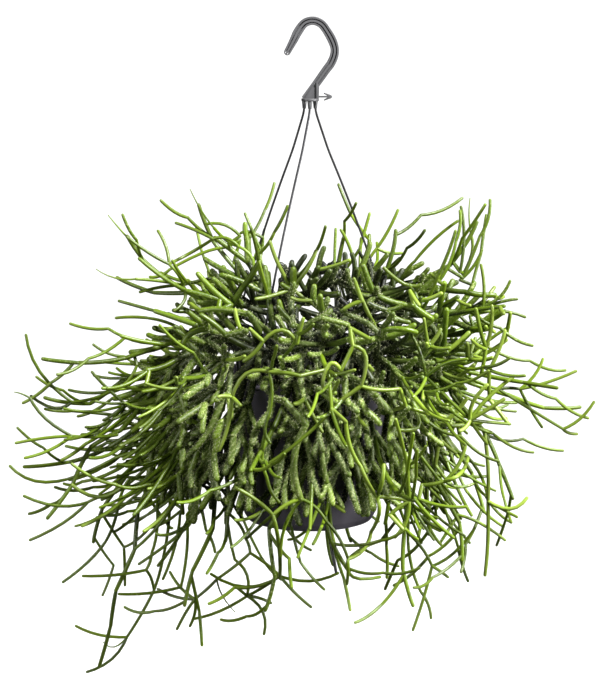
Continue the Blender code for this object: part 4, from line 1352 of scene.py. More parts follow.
class Arcs:
    """Arcs through starts, bent by their middles, to ends, with a radius at both."""

    def __init__(self, starts, middles, ends, radii):
        self.a = np.array(starts)
        self.c = np.array(middles)
        self.b = np.array(ends)
        self.radii = np.array(radii)
        plane = np.cross(self.c - self.a, self.b - self.a)
        spare = np.cross(self.b - self.a, ANY_DIRECTION)
        flat = np.linalg.norm(plane, axis=1, keepdims=True) < NEXT_TO_NOTHING
        self.flank = unit(np.where(flat, spare, plane))

    def frame(self, t):
        """Points, directions, sides and radii at shares t along each arc, one row for each arc."""
        t = t[..., None]
        a, c, b = (part[:, None, :] for part in (self.a, self.c, self.b))
        place = (1 - t) ** 2 * a + 2 * t * (1 - t) * c + t**2 * b
        along = unit((1 - t) * (c - a) + t * (b - c))
        flank = np.broadcast_to(self.flank[:, None, :], along.shape)
        radius = self.radii[:, :1, None] * (1 - t) + self.radii[:, 1:, None] * t
        return place, along, unit(np.cross(flank, along)), flank, radius

    def bend(self, points, turns):
        """The points of a straight rod, laid along every arc and turned about it."""
        height = points[None, :, 2]
        inside = np.clip(height, 0, 1) * np.ones((len(self.a), 1))
        past = (height - inside)[..., None]
        place, along, side, flank, radius = self.frame(inside)
        x, y = points[None, :, 0], points[None, :, 1]
        cos, sin = np.cos(turns)[:, None], np.sin(turns)[:, None]
        across = (x * cos - y * sin)[..., None]
        over = (x * sin + y * cos)[..., None]
        return place + radius * (past * along + across * side + over * flank)


test_arc = Arcs([(0, 0, 0)], [(1, 0, 1)], [(2, 0, 0)], [(1, 1)])
print("top of a test arc:", test_arc.frame(np.array([[0.5]]))[0][0, 0])

# %% Turn the bent copies into meshes
def repeated_mesh(name, places, counts, corners):
    """A mesh of many copies of one shape: places holds each copy's points."""
    copies, size = places.shape[:2]
    mesh = bpy.data.meshes.new(name)
    mesh.vertices.add(copies * size)
    mesh.vertices.foreach_set("co", places.astype(np.float32).ravel())
    shifted = (corners[None, :] + size * np.arange(copies)[:, None]).ravel()
    mesh.loops.add(len(shifted))
    mesh.loops.foreach_set("vertex_index", shifted.astype(np.int32))
    all_counts = np.tile(counts, copies)
    mesh.polygons.add(len(all_counts))
    starts = np.concatenate(([0], np.cumsum(all_counts)[:-1]))
    mesh.polygons.foreach_set("loop_start", starts.astype(np.int32))
    mesh.polygons.foreach_set("use_smooth", np.ones(len(all_counts), bool))
    mesh.update(calc_edges=True)
    return mesh


def add_attribute(mesh, name, values):
    """Keep one number at each point of a mesh."""
    attribute = mesh.attributes.new(name, "FLOAT", "POINT")
    attribute.data.foreach_set("value", values.astype(np.float32).ravel())


def join_objects(name, parts):
    """Join mesh objects into the first one."""
    with bpy.context.temp_override(active_object=parts[0], selected_editable_objects=parts):
        bpy.ops.object.join()
    parts[0].name = name
    parts[0].data.name = name
    return parts[0]


points, counts, corners = smooth_rod
test_mesh = repeated_mesh("test", np.stack([points] * 3), counts, corners)
print("faces of three smooth rods:", len(test_mesh.polygons))
bpy.data.meshes.remove(test_mesh)

# %% [markdown]
# ## Gathering the rods
#
# Every rod is now written down with its ends, its bend, its radius and its looks. Old rods near the axis are
# thick, dark and bristly, and the youngest at the tips are thin and bright; rods deep in the mound also get
# painted shade. A rod that reaches out sags in its middle, and one that hangs bows outwards. On the leading
# shoots the bend follows the neighbouring joints, so the shoot runs on in one curve.

# %% Give each rod its bend and its age
SAG = {"thick": 0.055, "curtain": -0.03, "fringe": 0.085, "bright": 0.06}
SIDE_BOW = 0.045
BRIGHT_AGE = (0.70, 1.00)
# The age at a share of the plant's reach, that share, and how much younger or older a rod may be.
THICK_AGE = (0.16, 0.6, -0.14, 0.20)
THIN_AGE = (0.30, 0.8, -0.22, 0.30)
AGE_RISE = 0.30
AGE_REACH = 1.35
# Painted shade: from DEEP[0] to DEEP[1] of the plant's reach, the colour rises from DEEP_SHADE to full, so
# deep rods look shadowed.
DEEP = (0.50, 1.00)
DEEP_SHADE = 0.10
BRISTLY_MIDDLE = Vector((-0.010, -0.085, -0.350))
BRISTLY_REACH = 0.125
BRISTLY_EDGE = 0.42
BRISTLY_RISE = 0.8
BRISTLY_CHANCE = (-0.30, 0.25)


def clamp(value):
    """A number kept from 0 to 1."""
    return min(1.0, max(0.0, value))


def bow(start, end, kind, draw):
    """The middle point that bends a rod: it sags where it reaches out, and bows a little to one side."""
    run = end - start
    length = run.length
    level = run.xy.length / max(length, 0.001)
    side = Vector([draw.uniform(-1, 1) for _ in range(3)]) * SIDE_BOW
    return (start + end) / 2 + length * (Vector((0.0, 0.0, -SAG[kind] * 2 * level)) + side)


def age_of(end, kind, draw):
    """From 0, old and dark, to 1, young and bright."""
    if kind == "bright":
        return draw.uniform(*BRIGHT_AGE)
    age, at_share, younger, older = THICK_AGE if kind in THICK_KINDS else THIN_AGE
    share = min(share_of_reach(end, True), AGE_REACH)
    return clamp(age + AGE_RISE * (share - at_share) + draw.uniform(younger, older))


def painted_shade_of(end):
    """How much of the full colour a rod shows: those deep in the mound are darkened as painted shade."""
    t = clamp((share_of_reach(end, True) - DEEP[0]) / (DEEP[1] - DEEP[0]))
    return DEEP_SHADE + (1 - DEEP_SHADE) * t * t * (3 - 2 * t)


def bristliness(end, kind, draw):
    """How bristly a thick rod is: most in front of the pot and round its rim, where old growth hangs."""
    if kind not in THICK_KINDS:
        return 0.0
    near = 1 - (end - BRISTLY_MIDDLE).length / BRISTLY_REACH
    return clamp(BRISTLY_EDGE + near * BRISTLY_RISE + draw.uniform(*BRISTLY_CHANCE))


print("shade half way out:", round(painted_shade_of(PLANT_HEART + Vector((0.09, 0.0, 0.0))), 2))

# %% Write down every rod
LEADER_SMOOTHNESS = 0.14
LEADER_SCALE = 1.12
LEADER_YOUTH = 0.8
LEADER_THICK_WITHIN = 0.85
THICK_TWIG_SCALE = 1.05
THIN_TWIG_SCALE = (1.0, 1.2)

rods = {stem["name"]: [] for stem in stems}


def write_rod(name, start, middle, end, radii, kind, youth=1.0):
    """Add a rod of a kind to a stem's list."""
    rods[name].append(
        {
            "start": start[:],
            "middle": middle[:],
            "end": end[:],
            "radii": radii,
            "age": age_of(end, kind, draw) * youth,
            "bristly": bristliness(end, kind, draw),
            "shade": painted_shade_of(end),
            "turn": draw.uniform(0, math.tau),
        }
    )


for stem in stems:
    line, radii = stem["leader"]
    for index in range(len(line) - 1):
        start, end = line[index], line[index + 1]
        before = line[index - 1] if index else start
        after = line[index + 2] if index + 2 < len(line) else end
        turn = (start - before).normalized() - (after - end).normalized()
        middle = (start + end) / 2 + turn * (end - start).length * LEADER_SMOOTHNESS
        kind = "thick" if share_of_reach(end, True) < LEADER_THICK_WITHIN else "fringe"
        size = LEADER_SCALE / LEADER_CORNER
        blunt = BLUNT_TIP if index == len(line) - 2 else 1
        ends = (radii[index] * size, radii[index + 1] * size / blunt)
        write_rod(stem["name"], start, middle, end, ends, kind, LEADER_YOUTH)
    for points, thick in stem["twigs"]:
        kind = "thick" if thick else "fringe"
        if thick:
            radius = THICK_TWIG_RADIUS * THICK_TWIG_SCALE
        else:
            radius = THIN_TWIG_RADIUS * draw.uniform(*THIN_TWIG_SCALE)
        for start, end in zip(points, points[1:]):
            middle = bow(start, end, kind, draw)
            write_rod(stem["name"], start, middle, end, (radius, radius * ROD_TAPER), kind)
for name, start, middle, end, radii, kind in traced:
    write_rod(name, start, middle, end, radii, kind)
for name, start, end, radius, kind in grown:
    write_rod(name, start, bow(start, end, kind, draw), end, (radius, radius * ROD_TAPER), kind)
print("rods:", sum(len(found) for found in rods.values()))

# %% [markdown]
# ## The green of the stems
#
# Old rods are a deep green and young ones a clear yellow-green, and each rod differs a little from its
# neighbour. Along a rod the colour lightens towards the tip, and the skin has fine pale flecks. Old and
# bristly rods look frosted, and the bristly ones carry rows of small woolly pads, which show as pale dots.
# Rods deep in the mound get little light and are kept dark. All of it is worked out by nodes from what the
# mesh keeps at its points, so it stays on the stems from every side.

# %% Helpers for materials
class Nodes:
    """Adds nodes to a material and links them up."""

    def __init__(self, name, roughness, colour=(0.5, 0.5, 0.5)):
        self.material = bpy.data.materials.new(name)
        self.material.use_nodes = True
        self.tree = self.material.node_tree
        self.shader = self.tree.nodes["Principled BSDF"]
        self.shader.inputs["Base Color"].default_value = (*colour, 1.0)
        self.shader.inputs["Roughness"].default_value = roughness

    def put(self, socket, value):
        """Link a node's output to a socket, or set the socket to a number or colour."""
        if isinstance(value, bpy.types.NodeSocket):
            self.tree.links.new(value, socket)
        elif isinstance(value, tuple) and len(value) == 3 and socket.type == "RGBA":
            socket.default_value = (*value, 1.0)
        else:
            socket.default_value = value

    def attribute(self, name):
        node = self.tree.nodes.new("ShaderNodeAttribute")
        node.attribute_name = name
        return node.outputs["Fac"]

    def maths(self, operation, first, second=0.0, third=0.0, clamp=False):
        node = self.tree.nodes.new("ShaderNodeMath")
        node.operation = operation
        node.use_clamp = clamp
        for socket, value in zip(node.inputs, (first, second, third)):
            self.put(socket, value)
        return node.outputs[0]

    def mix(self, share, first, second, blend="MIX"):
        node = self.tree.nodes.new("ShaderNodeMix")
        node.data_type = "RGBA"
        node.blend_type = blend
        self.put(node.inputs[0], share)
        self.put(node.inputs[6], first)
        self.put(node.inputs[7], second)
        return node.outputs[2]

    def ramp(self, share, stops):
        node = self.tree.nodes.new("ShaderNodeValToRGB")
        while len(node.color_ramp.elements) < len(stops):
            node.color_ramp.elements.new(0.5)
        for element, (place, colour) in zip(node.color_ramp.elements, stops):
            element.position = place
            element.color = (*colour, 1.0)
        self.put(node.inputs[0], share)
        return node.outputs[0]

    def noise(self, scale, detail=2.0, roughness=0.5):
        """Soft random spots in the object's own space."""
        place = self.tree.nodes.new("ShaderNodeTexCoord").outputs["Object"]
        node = self.tree.nodes.new("ShaderNodeTexNoise")
        node.inputs["Scale"].default_value = scale
        node.inputs["Detail"].default_value = detail
        node.inputs["Roughness"].default_value = roughness
        self.put(node.inputs["Vector"], place)
        return node.outputs["Fac"]

    def bump(self, height, distance, strength=1.0):
        node = self.tree.nodes.new("ShaderNodeBump")
        node.inputs["Distance"].default_value = distance
        node.inputs["Strength"].default_value = strength
        self.put(node.inputs["Height"], height)
        self.put(self.shader.inputs["Normal"], node.outputs[0])


print("helpers for nodes:", [name for name in vars(Nodes) if not name.startswith("_")])

# %% Make the skin
SKIN_ROUGHNESS = 0.36
BRISTLY_ROUGHNESS = 0.32
SKIN_GLOSS = 0.6
GREENS = [
    (0.00, (0.036, 0.068, 0.001)),
    (0.20, (0.070, 0.122, 0.002)),
    (0.45, (0.120, 0.194, 0.005)),
    (0.72, (0.172, 0.258, 0.018)),
    (1.00, (0.258, 0.358, 0.046)),
]
FLECK_COLOUR = (0.28, 0.40, 0.08)
FROST_COLOUR = (0.53, 0.59, 0.24)
PAD_COLOUR = (0.46, 0.52, 0.22)


def stem_finish():
    """The skin of the stems."""
    skin = Nodes("stem_skin", SKIN_ROUGHNESS)
    skin.shader.inputs["Specular IOR Level"].default_value = SKIN_GLOSS
    age = skin.attribute("age")
    chance = skin.attribute("chance")
    along = skin.attribute("along")
    bristly = skin.attribute("bristly")
    roughness = skin.maths("MULTIPLY_ADD", bristly, BRISTLY_ROUGHNESS, SKIN_ROUGHNESS)
    skin.put(skin.shader.inputs["Roughness"], roughness)
    # The colour follows the rod's age, and is younger towards its tip.
    tipwards = skin.maths("MULTIPLY", skin.maths("SUBTRACT", along, 0.5), 0.16)
    green = skin.ramp(skin.maths("ADD", age, tipwards, clamp=True), GREENS)
    # Flecks are the peaks of a fine noise, and frost the peaks of a coarser one.
    flecks = skin.maths("SUBTRACT", skin.noise(900), 0.60)
    green = skin.mix(skin.maths("MULTIPLY", flecks, 3.0, clamp=True), green, FLECK_COLOUR)
    frosted = skin.maths("MAXIMUM", bristly, skin.maths("MULTIPLY_ADD", age, -2.2, 0.9))
    frost = skin.maths("SUBTRACT", skin.noise(620, 2.0, 0.6), 0.55)
    frost = skin.maths("MULTIPLY", skin.maths("MULTIPLY", frost, 11.0, clamp=True), frosted)
    green = skin.mix(skin.maths("MULTIPLY", frost, 1.1, clamp=True), green, FROST_COLOUR)
    pads = skin.maths("MULTIPLY", skin.maths("POWER", skin.attribute("pad"), 3.0), bristly)
    green = skin.mix(skin.maths("MULTIPLY", pads, 0.5, clamp=True), green, PAD_COLOUR)
    # Each rod is a little lighter or darker than the next, and rods deep in the mound are darkened by painted
    # shade.
    shade = skin.maths("MULTIPLY", skin.maths("MULTIPLY_ADD", chance, 0.8, 0.57), skin.attribute("shade"))
    green = skin.mix(1.0, green, shade, "MULTIPLY")
    skin.put(skin.shader.inputs["Base Color"], green)
    skin.bump(skin.noise(650), 0.0004, 0.6)
    return skin.material


stem_skin = stem_finish()
print("nodes in the stems' skin:", len(stem_skin.node_tree.nodes))

# %% Lay the rods of each stem
LEAST_BRISTLY = 0.12

chance = np.random.default_rng(7)


def arcs_of(chosen):
    """The arcs of some rods."""
    return Arcs(*([entry[key] for entry in chosen] for key in ("start", "middle", "end", "radii")))


def lay(name, chosen, shape):
    """One mesh of rods of one shape, with what the finish reads kept at its points."""
    points, counts, corners = shape
    copies = len(chosen)
    places = arcs_of(chosen).bend(points, np.array([entry["turn"] for entry in chosen]))
    mesh = repeated_mesh(name, places, counts, corners)
    for key in ("age", "bristly", "shade"):
        add_attribute(mesh, key, np.repeat([entry[key] for entry in chosen], len(points)))
    add_attribute(mesh, "chance", np.repeat(chance.uniform(0, 1, copies), len(points)))
    add_attribute(mesh, "along", np.tile(np.clip(points[:, 2], 0, 1), copies))
    raised = (np.hypot(points[:, 0], points[:, 1]) > 1 + BUMP_HEIGHT / 2).astype(float)
    add_attribute(mesh, "pad", np.tile(raised, copies))
    return mesh


for name, found in rods.items():
    parts = []
    for bristly, shape in ((True, bristly_rod), (False, smooth_rod)):
        chosen = [entry for entry in found if (entry["bristly"] > LEAST_BRISTLY) == bristly]
        if chosen:
            parts.append(add_object(f"{name}_rods", lay(name, chosen, shape)))
    piece = join_objects(name.replace("stem_", "shoots_"), parts)
    piece.data.materials.append(stem_skin)
    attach(piece, "root")
    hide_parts(name)
pieces = [thing for thing in bpy.data.objects if thing.name.startswith("shoots_")]
triangles = sum(len(piece.data.loops) - 2 * len(piece.data.polygons) for piece in pieces)
print("pieces of stems:", len(pieces), "triangles:", triangles)

# %% [markdown]
# ## Bristles
#
# On old growth each low bump carries a tuft of soft pale bristles, one or two millimetres long, and from
# some way off they make the stems look frosted. A bristle is a very thin three-sided cone. Hair would vanish
# when the model is exported, so the cones are real meshes, laid by the same arrays as the rods: each tuft
# stands on a bump of its rod, and its bristles lean a little apart and towards the rod's tip.

# %% Make one bristle and find the bumps
def bristle_shape():
    """A thin cone of one length and one radius that stands on its base."""
    shape = bmesh.new()
    bmesh.ops.create_cone(shape, cap_ends=True, segments=3, radius1=1.0, radius2=0.0, depth=1.0)
    bmesh.ops.remove_doubles(shape, verts=shape.verts, dist=0.0001)
    bmesh.ops.translate(shape, verts=shape.verts, vec=(0.0, 0.0, 0.5))
    bmesh.ops.recalc_face_normals(shape, faces=shape.faces)
    return arrays_of(shape)


def bumps():
    """The share along the rod and the angle round it of each bump."""
    places = []
    for row in range(BRISTLY_ROWS):
        for side in range(BRISTLY_SIDES):
            if (row + side) % 2 == 0:
                places.append(((row + 0.5) / BRISTLY_ROWS, math.tau * side / BRISTLY_SIDES))
    return np.array(places)


print("bumps on a bristly rod:", len(bumps()))

# %% Set a tuft on every bump of the bristly rods
BRISTLY_ENOUGH = 0.30
TUFT = 4
BRISTLE_LENGTH = (0.0009, 0.0018)
BRISTLE_RADIUS = 0.00016
BRISTLE_LEAN = 0.33
TIPWARDS = 0.35
OFF_PARALLEL = 0.01
BRISTLE_COLOUR = (0.68, 0.71, 0.44)


def bristles(name, chosen, shape):
    """One mesh with the bristles of many rods."""
    points, counts, corners = shape
    spots = np.repeat(bumps(), TUFT, axis=0)
    share = np.tile(spots[:, 0], (len(chosen), 1))
    angle = spots[None, :, 1] + np.array([entry["turn"] for entry in chosen])[:, None]
    place, along, side, flank, radius = arcs_of(chosen).frame(share)
    angle = angle[..., None]
    outward = np.cos(angle) * side + np.sin(angle) * flank
    lean = chance.normal(0, BRISTLE_LEAN, outward.shape)
    heading = unit(outward + TIPWARDS * along + lean)
    foot = place + outward * radius
    first = unit(np.cross(heading, along + OFF_PARALLEL))
    second = np.cross(heading, first)
    length = chance.uniform(*BRISTLE_LENGTH, share.shape)[..., None]
    x, y, z = (points[:, axis][None, None, :, None] for axis in range(3))
    laid = foot[:, :, None] + BRISTLE_RADIUS * (x * first[:, :, None] + y * second[:, :, None])
    laid += z * (length * heading)[:, :, None]
    return repeated_mesh(name, laid.reshape(-1, len(points), 3), counts, corners)


bristle_finish = Nodes("bristle", 0.55, BRISTLE_COLOUR)
one_bristle = bristle_shape()
for kind in ("top", "side", "trail", "skirt"):
    chosen = [entry for name, found in rods.items() if f"_{kind}_" in name for entry in found]
    chosen = [entry for entry in chosen if entry["bristly"] > BRISTLY_ENOUGH]
    piece = add_object(f"bristles_{kind}", bristles(f"bristles_{kind}", chosen, one_bristle))
    piece.data.materials.append(bristle_finish.material)
    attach(piece, "root")
    print(piece.name, "rods:", len(chosen), "faces:", len(piece.data.polygons))

# %% [markdown]
# ## The hook
#
# The hook is one moulding. Its strip has a rib along each edge and one down the middle on both faces, which
# keeps it stiff with little plastic. The strip's section is swept along the hook's line with the grooves
# fading out at both ends. Flat parts are outlines that are extruded and bevelled, and the base and the
# sleeves for the wires are short cones.

# %% Sizes of the hook
HOOK_THICKNESS = 0.0056
HOOK_GROOVE_DEPTH = 0.0020
HOOK_GROOVE_INNER = 0.24
HOOK_GROOVE_OUTER = 0.54
# Each row of the strip's line: how far to the side, half the strip's width, and the height.
HOOK_LINE = [
    (-0.0209, 0.0028, -0.0267),
    (-0.0172, 0.0031, -0.0201),
    (-0.0135, 0.0036, -0.0131),
    (-0.0103, 0.0039, -0.0068),
    (-0.0045, 0.0037, 0.0006),
    (0.0030, 0.0036, 0.0026),
    (0.0098, 0.0037, 0.0000),
    (0.0144, 0.0037, -0.0057),
    (0.0188, 0.0039, -0.0132),
    (0.0214, 0.0037, -0.0205),
    (0.0211, 0.0037, -0.0271),
    (0.0182, 0.0037, -0.0340),
    (0.0140, 0.0036, -0.0397),
    (0.0057, 0.0034, -0.0513),
    (-0.0046, 0.0030, -0.0648),
]
HOOK_WEB = [(0.0030, -0.0500), (0.0080, -0.0550), (0.0076, -0.0665), (-0.0060, -0.0665)]
HOOK_WEB_THICKNESS = 0.0022
HOOK_UPRIGHT_THICKNESS = 0.0054
HOOK_UPRIGHT = [(0.0055, -0.0500), (0.0082, -0.0530), (0.0078, -0.0665), (0.0055, -0.0665)]
HOOK_BASE_TOP = -0.0642
HOOK_BASE_BOTTOM = -0.0664
HOOK_BASE_RADIUS = 0.0074
BARB = [
    (0.0060, -0.0620),
    (0.0152, -0.0620),
    (0.0119, -0.0600),
    (0.0123, -0.0592),
    (0.0185, -0.0613),
    (0.0196, -0.0627),
    (0.0185, -0.0641),
    (0.0123, -0.0662),
    (0.0119, -0.0654),
    (0.0152, -0.0634),
    (0.0060, -0.0634),
]
BARB_THICKNESS = 0.0022
SLEEVE_TOP_RADIUS = 0.0023
SLEEVE_BOTTOM_RADIUS = 0.0015
EDGE_ROUNDING = 0.00035
FLAT_ROUNDING = 0.0003
UPRIGHT_ROUNDING = 0.0004
BASE_ROUNDING = 0.0005
GROOVE_SLOPE = 0.00015
WEB_FROM = -0.0518
WEB_EASE = 0.0015
print("width of the hook:", round(max(row[0] for row in HOOK_LINE) - min(row[0] for row in HOOK_LINE), 4))

# %% Draw the strip's section
def strip_section(half, groove, flat):
    """The section as steps across and out from the mid-plane. Flat sinks its web side into the web."""
    face = HOOK_THICKNESS / 2
    outer, inner, floor = HOOK_GROOVE_OUTER * half, HOOK_GROOVE_INNER * half, face - groove
    side = [
        (half, face - EDGE_ROUNDING),
        (half - EDGE_ROUNDING, face),
        (outer, face),
        (outer - GROOVE_SLOPE, floor),
        (inner + GROOVE_SLOPE, floor),
        (inner, face),
    ]
    sunk = HOOK_WEB_THICKNESS / 2 - EDGE_ROUNDING
    front = []
    for across, out in side + [(-across, out) for across, out in reversed(side)]:
        in_web = across > -inner - GROOVE_SLOPE
        front.append((across, out + (sunk - out) * flat if in_web else out))
    return front + [(across, -out) for across, out in reversed(front)]


print("points of the strip's section:", len(strip_section(HOOK_LINE[5][1], HOOK_GROOVE_DEPTH, 0.0)))

# %% Helpers for flat and round parts
FLAT_SHARP = 20
ROUND_SHARP = 40


def plate(outline, thickness, rounding):
    """A flat part in the XZ plane with rounded edges."""
    shape = bmesh.new()
    spots = bmesh.ops.create_circle(shape, cap_ends=True, segments=len(outline), radius=1.0)["verts"]
    for spot, (x, z) in zip(spots, outline):
        spot.co = (x, -thickness / 2, z)
    grown = bmesh.ops.extrude_face_region(shape, geom=shape.faces[:])["geom"]
    moved = [element for element in grown if isinstance(element, bmesh.types.BMVert)]
    bmesh.ops.translate(shape, verts=moved, vec=(0.0, thickness, 0.0))
    bmesh.ops.recalc_face_normals(shape, faces=shape.faces)
    round_edges(shape, rounding, FLAT_SHARP)
    return shape


def round_edges(shape, rounding, from_angle):
    """Bevel the edges that turn by more than an angle in degrees."""
    sharp = [edge for edge in shape.edges if edge.calc_face_angle(0.0) > math.radians(from_angle)]
    bmesh.ops.bevel(
        shape,
        geom=sharp,
        offset=rounding,
        segments=2,
        profile=0.5,
        affect="EDGES",
        clamp_overlap=True,
        material=-1,
    )


def cone(low_radius, high_radius, low, high, place, sides, rounding):
    """An upright cone or cylinder with rounded rims."""
    shape = bmesh.new()
    bmesh.ops.create_cone(
        shape, cap_ends=True, segments=sides, radius1=low_radius, radius2=high_radius, depth=high - low
    )
    bmesh.ops.translate(shape, verts=shape.verts, vec=(place[0], place[1], (low + high) / 2))
    round_edges(shape, rounding, ROUND_SHARP)
    return shape


test_disc = cone(1.0, 1.0, 0.0, 1.0, (0, 0), 12, 0.1)
print("volume of a test disc:", round(test_disc.calc_volume(), 3))
test_disc.free()

# %% Sweep the strip
STEPS_BETWEEN_ROWS = 8
TIP_STEPS = (0.0, 0.04, 0.12, 0.28, 0.5, 0.75)
TIP_NARROWEST = 0.25
GROOVE_STARTS = 0.7

# The tip is rounded, so the line has more steps there.
hook_line = smooth_line(HOOK_LINE, STEPS_BETWEEN_ROWS)
start, after = hook_line[0], hook_line[2]
hook_line[:2] = [start.lerp(after, share) for share in TIP_STEPS]
last = len(hook_line) - 1
rings = []
for index, spot in enumerate(hook_line):
    along = (hook_line[min(index + 1, last)] - hook_line[max(index - 1, 0)]) * Vector((1.0, 0.0, 1.0))
    side = Vector((-along.z, 0.0, along.x)).normalized()
    from_tip = min(1.0, Vector((spot.x - start.x, spot.z - start.z)).length / spot.y)
    round_tip = max(TIP_NARROWEST, math.sqrt(1 - (1 - from_tip) ** 2))
    fade = clamp((from_tip - GROOVE_STARTS) / (1 - GROOVE_STARTS))
    flat = clamp((WEB_FROM - spot.z) / WEB_EASE)
    section = strip_section(spot.y, HOOK_GROOVE_DEPTH * fade, flat)
    middle = Vector((spot.x, 0.0, spot.z))
    rings.append([middle + side * across * round_tip + Vector((0.0, out, 0.0)) for across, out in section])
strip = sweep(rings)
print("rings of the strip:", len(rings))

# %% Make the hook
HOOK_SMOOTH_ANGLE = 30
BASE_SIDES = 48
SLEEVE_SIDES = 20

web = plate(HOOK_WEB, HOOK_WEB_THICKNESS, FLAT_ROUNDING)
upright = plate(HOOK_UPRIGHT, HOOK_UPRIGHT_THICKNESS, UPRIGHT_ROUNDING)
barb = plate(BARB, BARB_THICKNESS, FLAT_ROUNDING)
radius = HOOK_BASE_RADIUS
base = cone(radius, radius, HOOK_BASE_BOTTOM, HOOK_BASE_TOP, (0, 0), BASE_SIDES, BASE_ROUNDING)
shapes = [strip, web, upright, barb, base]
sleeve_top = HOOK_BASE_BOTTOM + OVERRUN
for spot in SLEEVE_PLACES.values():
    radii = (SLEEVE_BOTTOM_RADIUS, SLEEVE_TOP_RADIUS)
    shapes.append(cone(*radii, SLEEVE_BOTTOM, sleeve_top, spot, SLEEVE_SIDES, FLAT_ROUNDING))
parts = [as_object("hook_part", shape, HOOK_SMOOTH_ANGLE) for shape in shapes]
hook = join_objects("fine_hook", parts)
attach(hook, "root")
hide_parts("hook")
print("faces of the hook:", len(hook.data.polygons))

# %% [markdown]
# ## The wires
#
# Each wire is a round plastic rod that leaves its sleeve straight down, bows out slightly and passes through
# an ear on the pot's rim, where a stop holds it. A ring of twelve points is swept along the same route as in
# the plain model, with more points between.

# %% Ease the wires' corners
WIRE_LEAVES = -0.0650
CORNER_REACH = 0.006
CORNER_SHARE = 1 / 2.1
CORNER_STEPS = (0.0, 0.25, 0.5, 0.75, 1.0)


def fine_route(side):
    """The wire's route without its short straight start: it leaves the base at once in its own direction."""
    route = wire_route(side)
    x, y = SLEEVE_PLACES[side]
    return [Vector((x, y, WIRE_LEAVES)), route[1]] + route[3:]


def eased(points):
    """A line through points with each corner eased by a short curve."""
    line = [points[0]]
    for before, corner, after in zip(points, points[1:], points[2:]):
        back, on = before - corner, after - corner
        into = corner + back.normalized() * min(CORNER_REACH, back.length * CORNER_SHARE)
        out = corner + on.normalized() * min(CORNER_REACH, on.length * CORNER_SHARE)
        for t in CORNER_STEPS:
            line.append(into.lerp(corner, t).lerp(corner.lerp(out, t), t))
    return line + [points[-1]]


def round_ring(spot, along, radius, sides):
    """A ring of points round a line that runs mostly downwards."""
    across = along.cross(Vector((0.0, 1.0, 0.0))).normalized()
    over = along.cross(across)
    angles = [math.tau * side / sides for side in range(sides)]
    return [spot + (across * math.cos(angle) + over * math.sin(angle)) * radius for angle in angles]


print("points on the front wire:", len(eased(fine_route("front"))))

# %% Make the wires
WIRE_SIDES = 12
STOP_SIDES = 16
STOP_ROUNDING = 0.0004
WIRE_SMOOTH_ANGLE = 40

wires = []
stop_top = EAR_TOP - EAR_THICKNESS - GAP
stop_bottom = stop_top - WIRE_STOP_HEIGHT
for side in EAR_AZIMUTHS:
    route = eased(fine_route(side))
    last = len(route) - 1
    rings = []
    for index, spot in enumerate(route):
        along = (route[min(index + 1, last)] - route[max(index - 1, 0)]).normalized()
        rings.append(round_ring(spot, along, WIRE_RADIUS, WIRE_SIDES))
    radii = (WIRE_STOP_RADIUS, WIRE_STOP_RADIUS)
    stop = cone(*radii, stop_bottom, stop_top, route[-1].xy, STOP_SIDES, STOP_ROUNDING)
    parts = [as_object("wire_part", shape, WIRE_SMOOTH_ANGLE) for shape in (sweep(rings), stop)]
    wire = join_objects(f"fine_wire_{side}", parts)
    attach(wire, "root")
    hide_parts(f"hanger_wire_{side}")
    wires.append(wire)
print("faces of the wires:", [len(wire.data.polygons) for wire in wires])

# %% [markdown]
# ## The pot
#
# The pot is thin moulded plastic, the same all round, so its section is spun about the axis. The section's
# corners are bevelled first, because moulded plastic has no sharp edges. The ears for the wires are joined to
# it and their holes and the drain holes are cut out of it with Booleans.

# %% Draw the pot's section and spin it
POT_STEPS = 96
POT_ROUNDING = 0.0005
SAME_PLACE = 0.000005


def pot_section():
    """The wall's section, from the middle of the inner floor over the lip to the middle of the base."""
    floor = POT_BASE + POT_WALL
    (corner_radius, corner_height), (base_radius, _) = POT_OUTER[-2:]
    inner = [(0.0, floor), (base_radius - POT_WALL, floor)]
    inner.append((corner_radius - POT_WALL, corner_height + POT_WALL / 2))
    inner += [(radius - POT_WALL, height) for radius, height in reversed(POT_OUTER[:4])]
    lip = [(POT_LIP_RADIUS - inwards, POT_TOP - below) for inwards, below in POT_LIP]
    return inner + lip + POT_OUTER + [(0.0, POT_BASE)]


def spun(section, steps, rounding):
    """A solid turned from a section that starts and ends on the axis, with its inner corners rounded."""
    shape = bmesh.new()
    spots = [bmesh.ops.create_vert(shape, co=(radius, 0.0, height))["vert"][0] for radius, height in section]
    for first, second in zip(spots, spots[1:]):
        bmesh.ops.contextual_create(shape, geom=[first, second])
    bmesh.ops.bevel(
        shape,
        geom=spots[1:-1],
        offset=rounding,
        segments=2,
        profile=0.5,
        affect="VERTICES",
        clamp_overlap=True,
    )
    bmesh.ops.spin(
        shape,
        geom=shape.verts[:] + shape.edges[:],
        axis=(0, 0, 1),
        cent=(0, 0, 0),
        angle=math.tau,
        steps=steps,
        use_merge=True,
    )
    bmesh.ops.remove_doubles(shape, verts=shape.verts, dist=SAME_PLACE)
    bmesh.ops.recalc_face_normals(shape, faces=shape.faces)
    return shape


pot = as_object("fine_pot", spun(pot_section(), POT_STEPS, POT_ROUNDING))
print("faces of the spun pot:", len(pot.data.polygons))

# %% Join the ears and cut the holes
EAR_ARC_STEPS = 12
DRAIN_HOLES = 4
DRAIN_RADIUS = 0.0045
DRAIN_REACH = 0.034
CUT_DEPTH = 0.005
DRAIN_DEPTH = 0.004
EAR_HOLE_SIDES = 16
DRAIN_SIDES = 24
POT_SMOOTH_ANGLE = 35


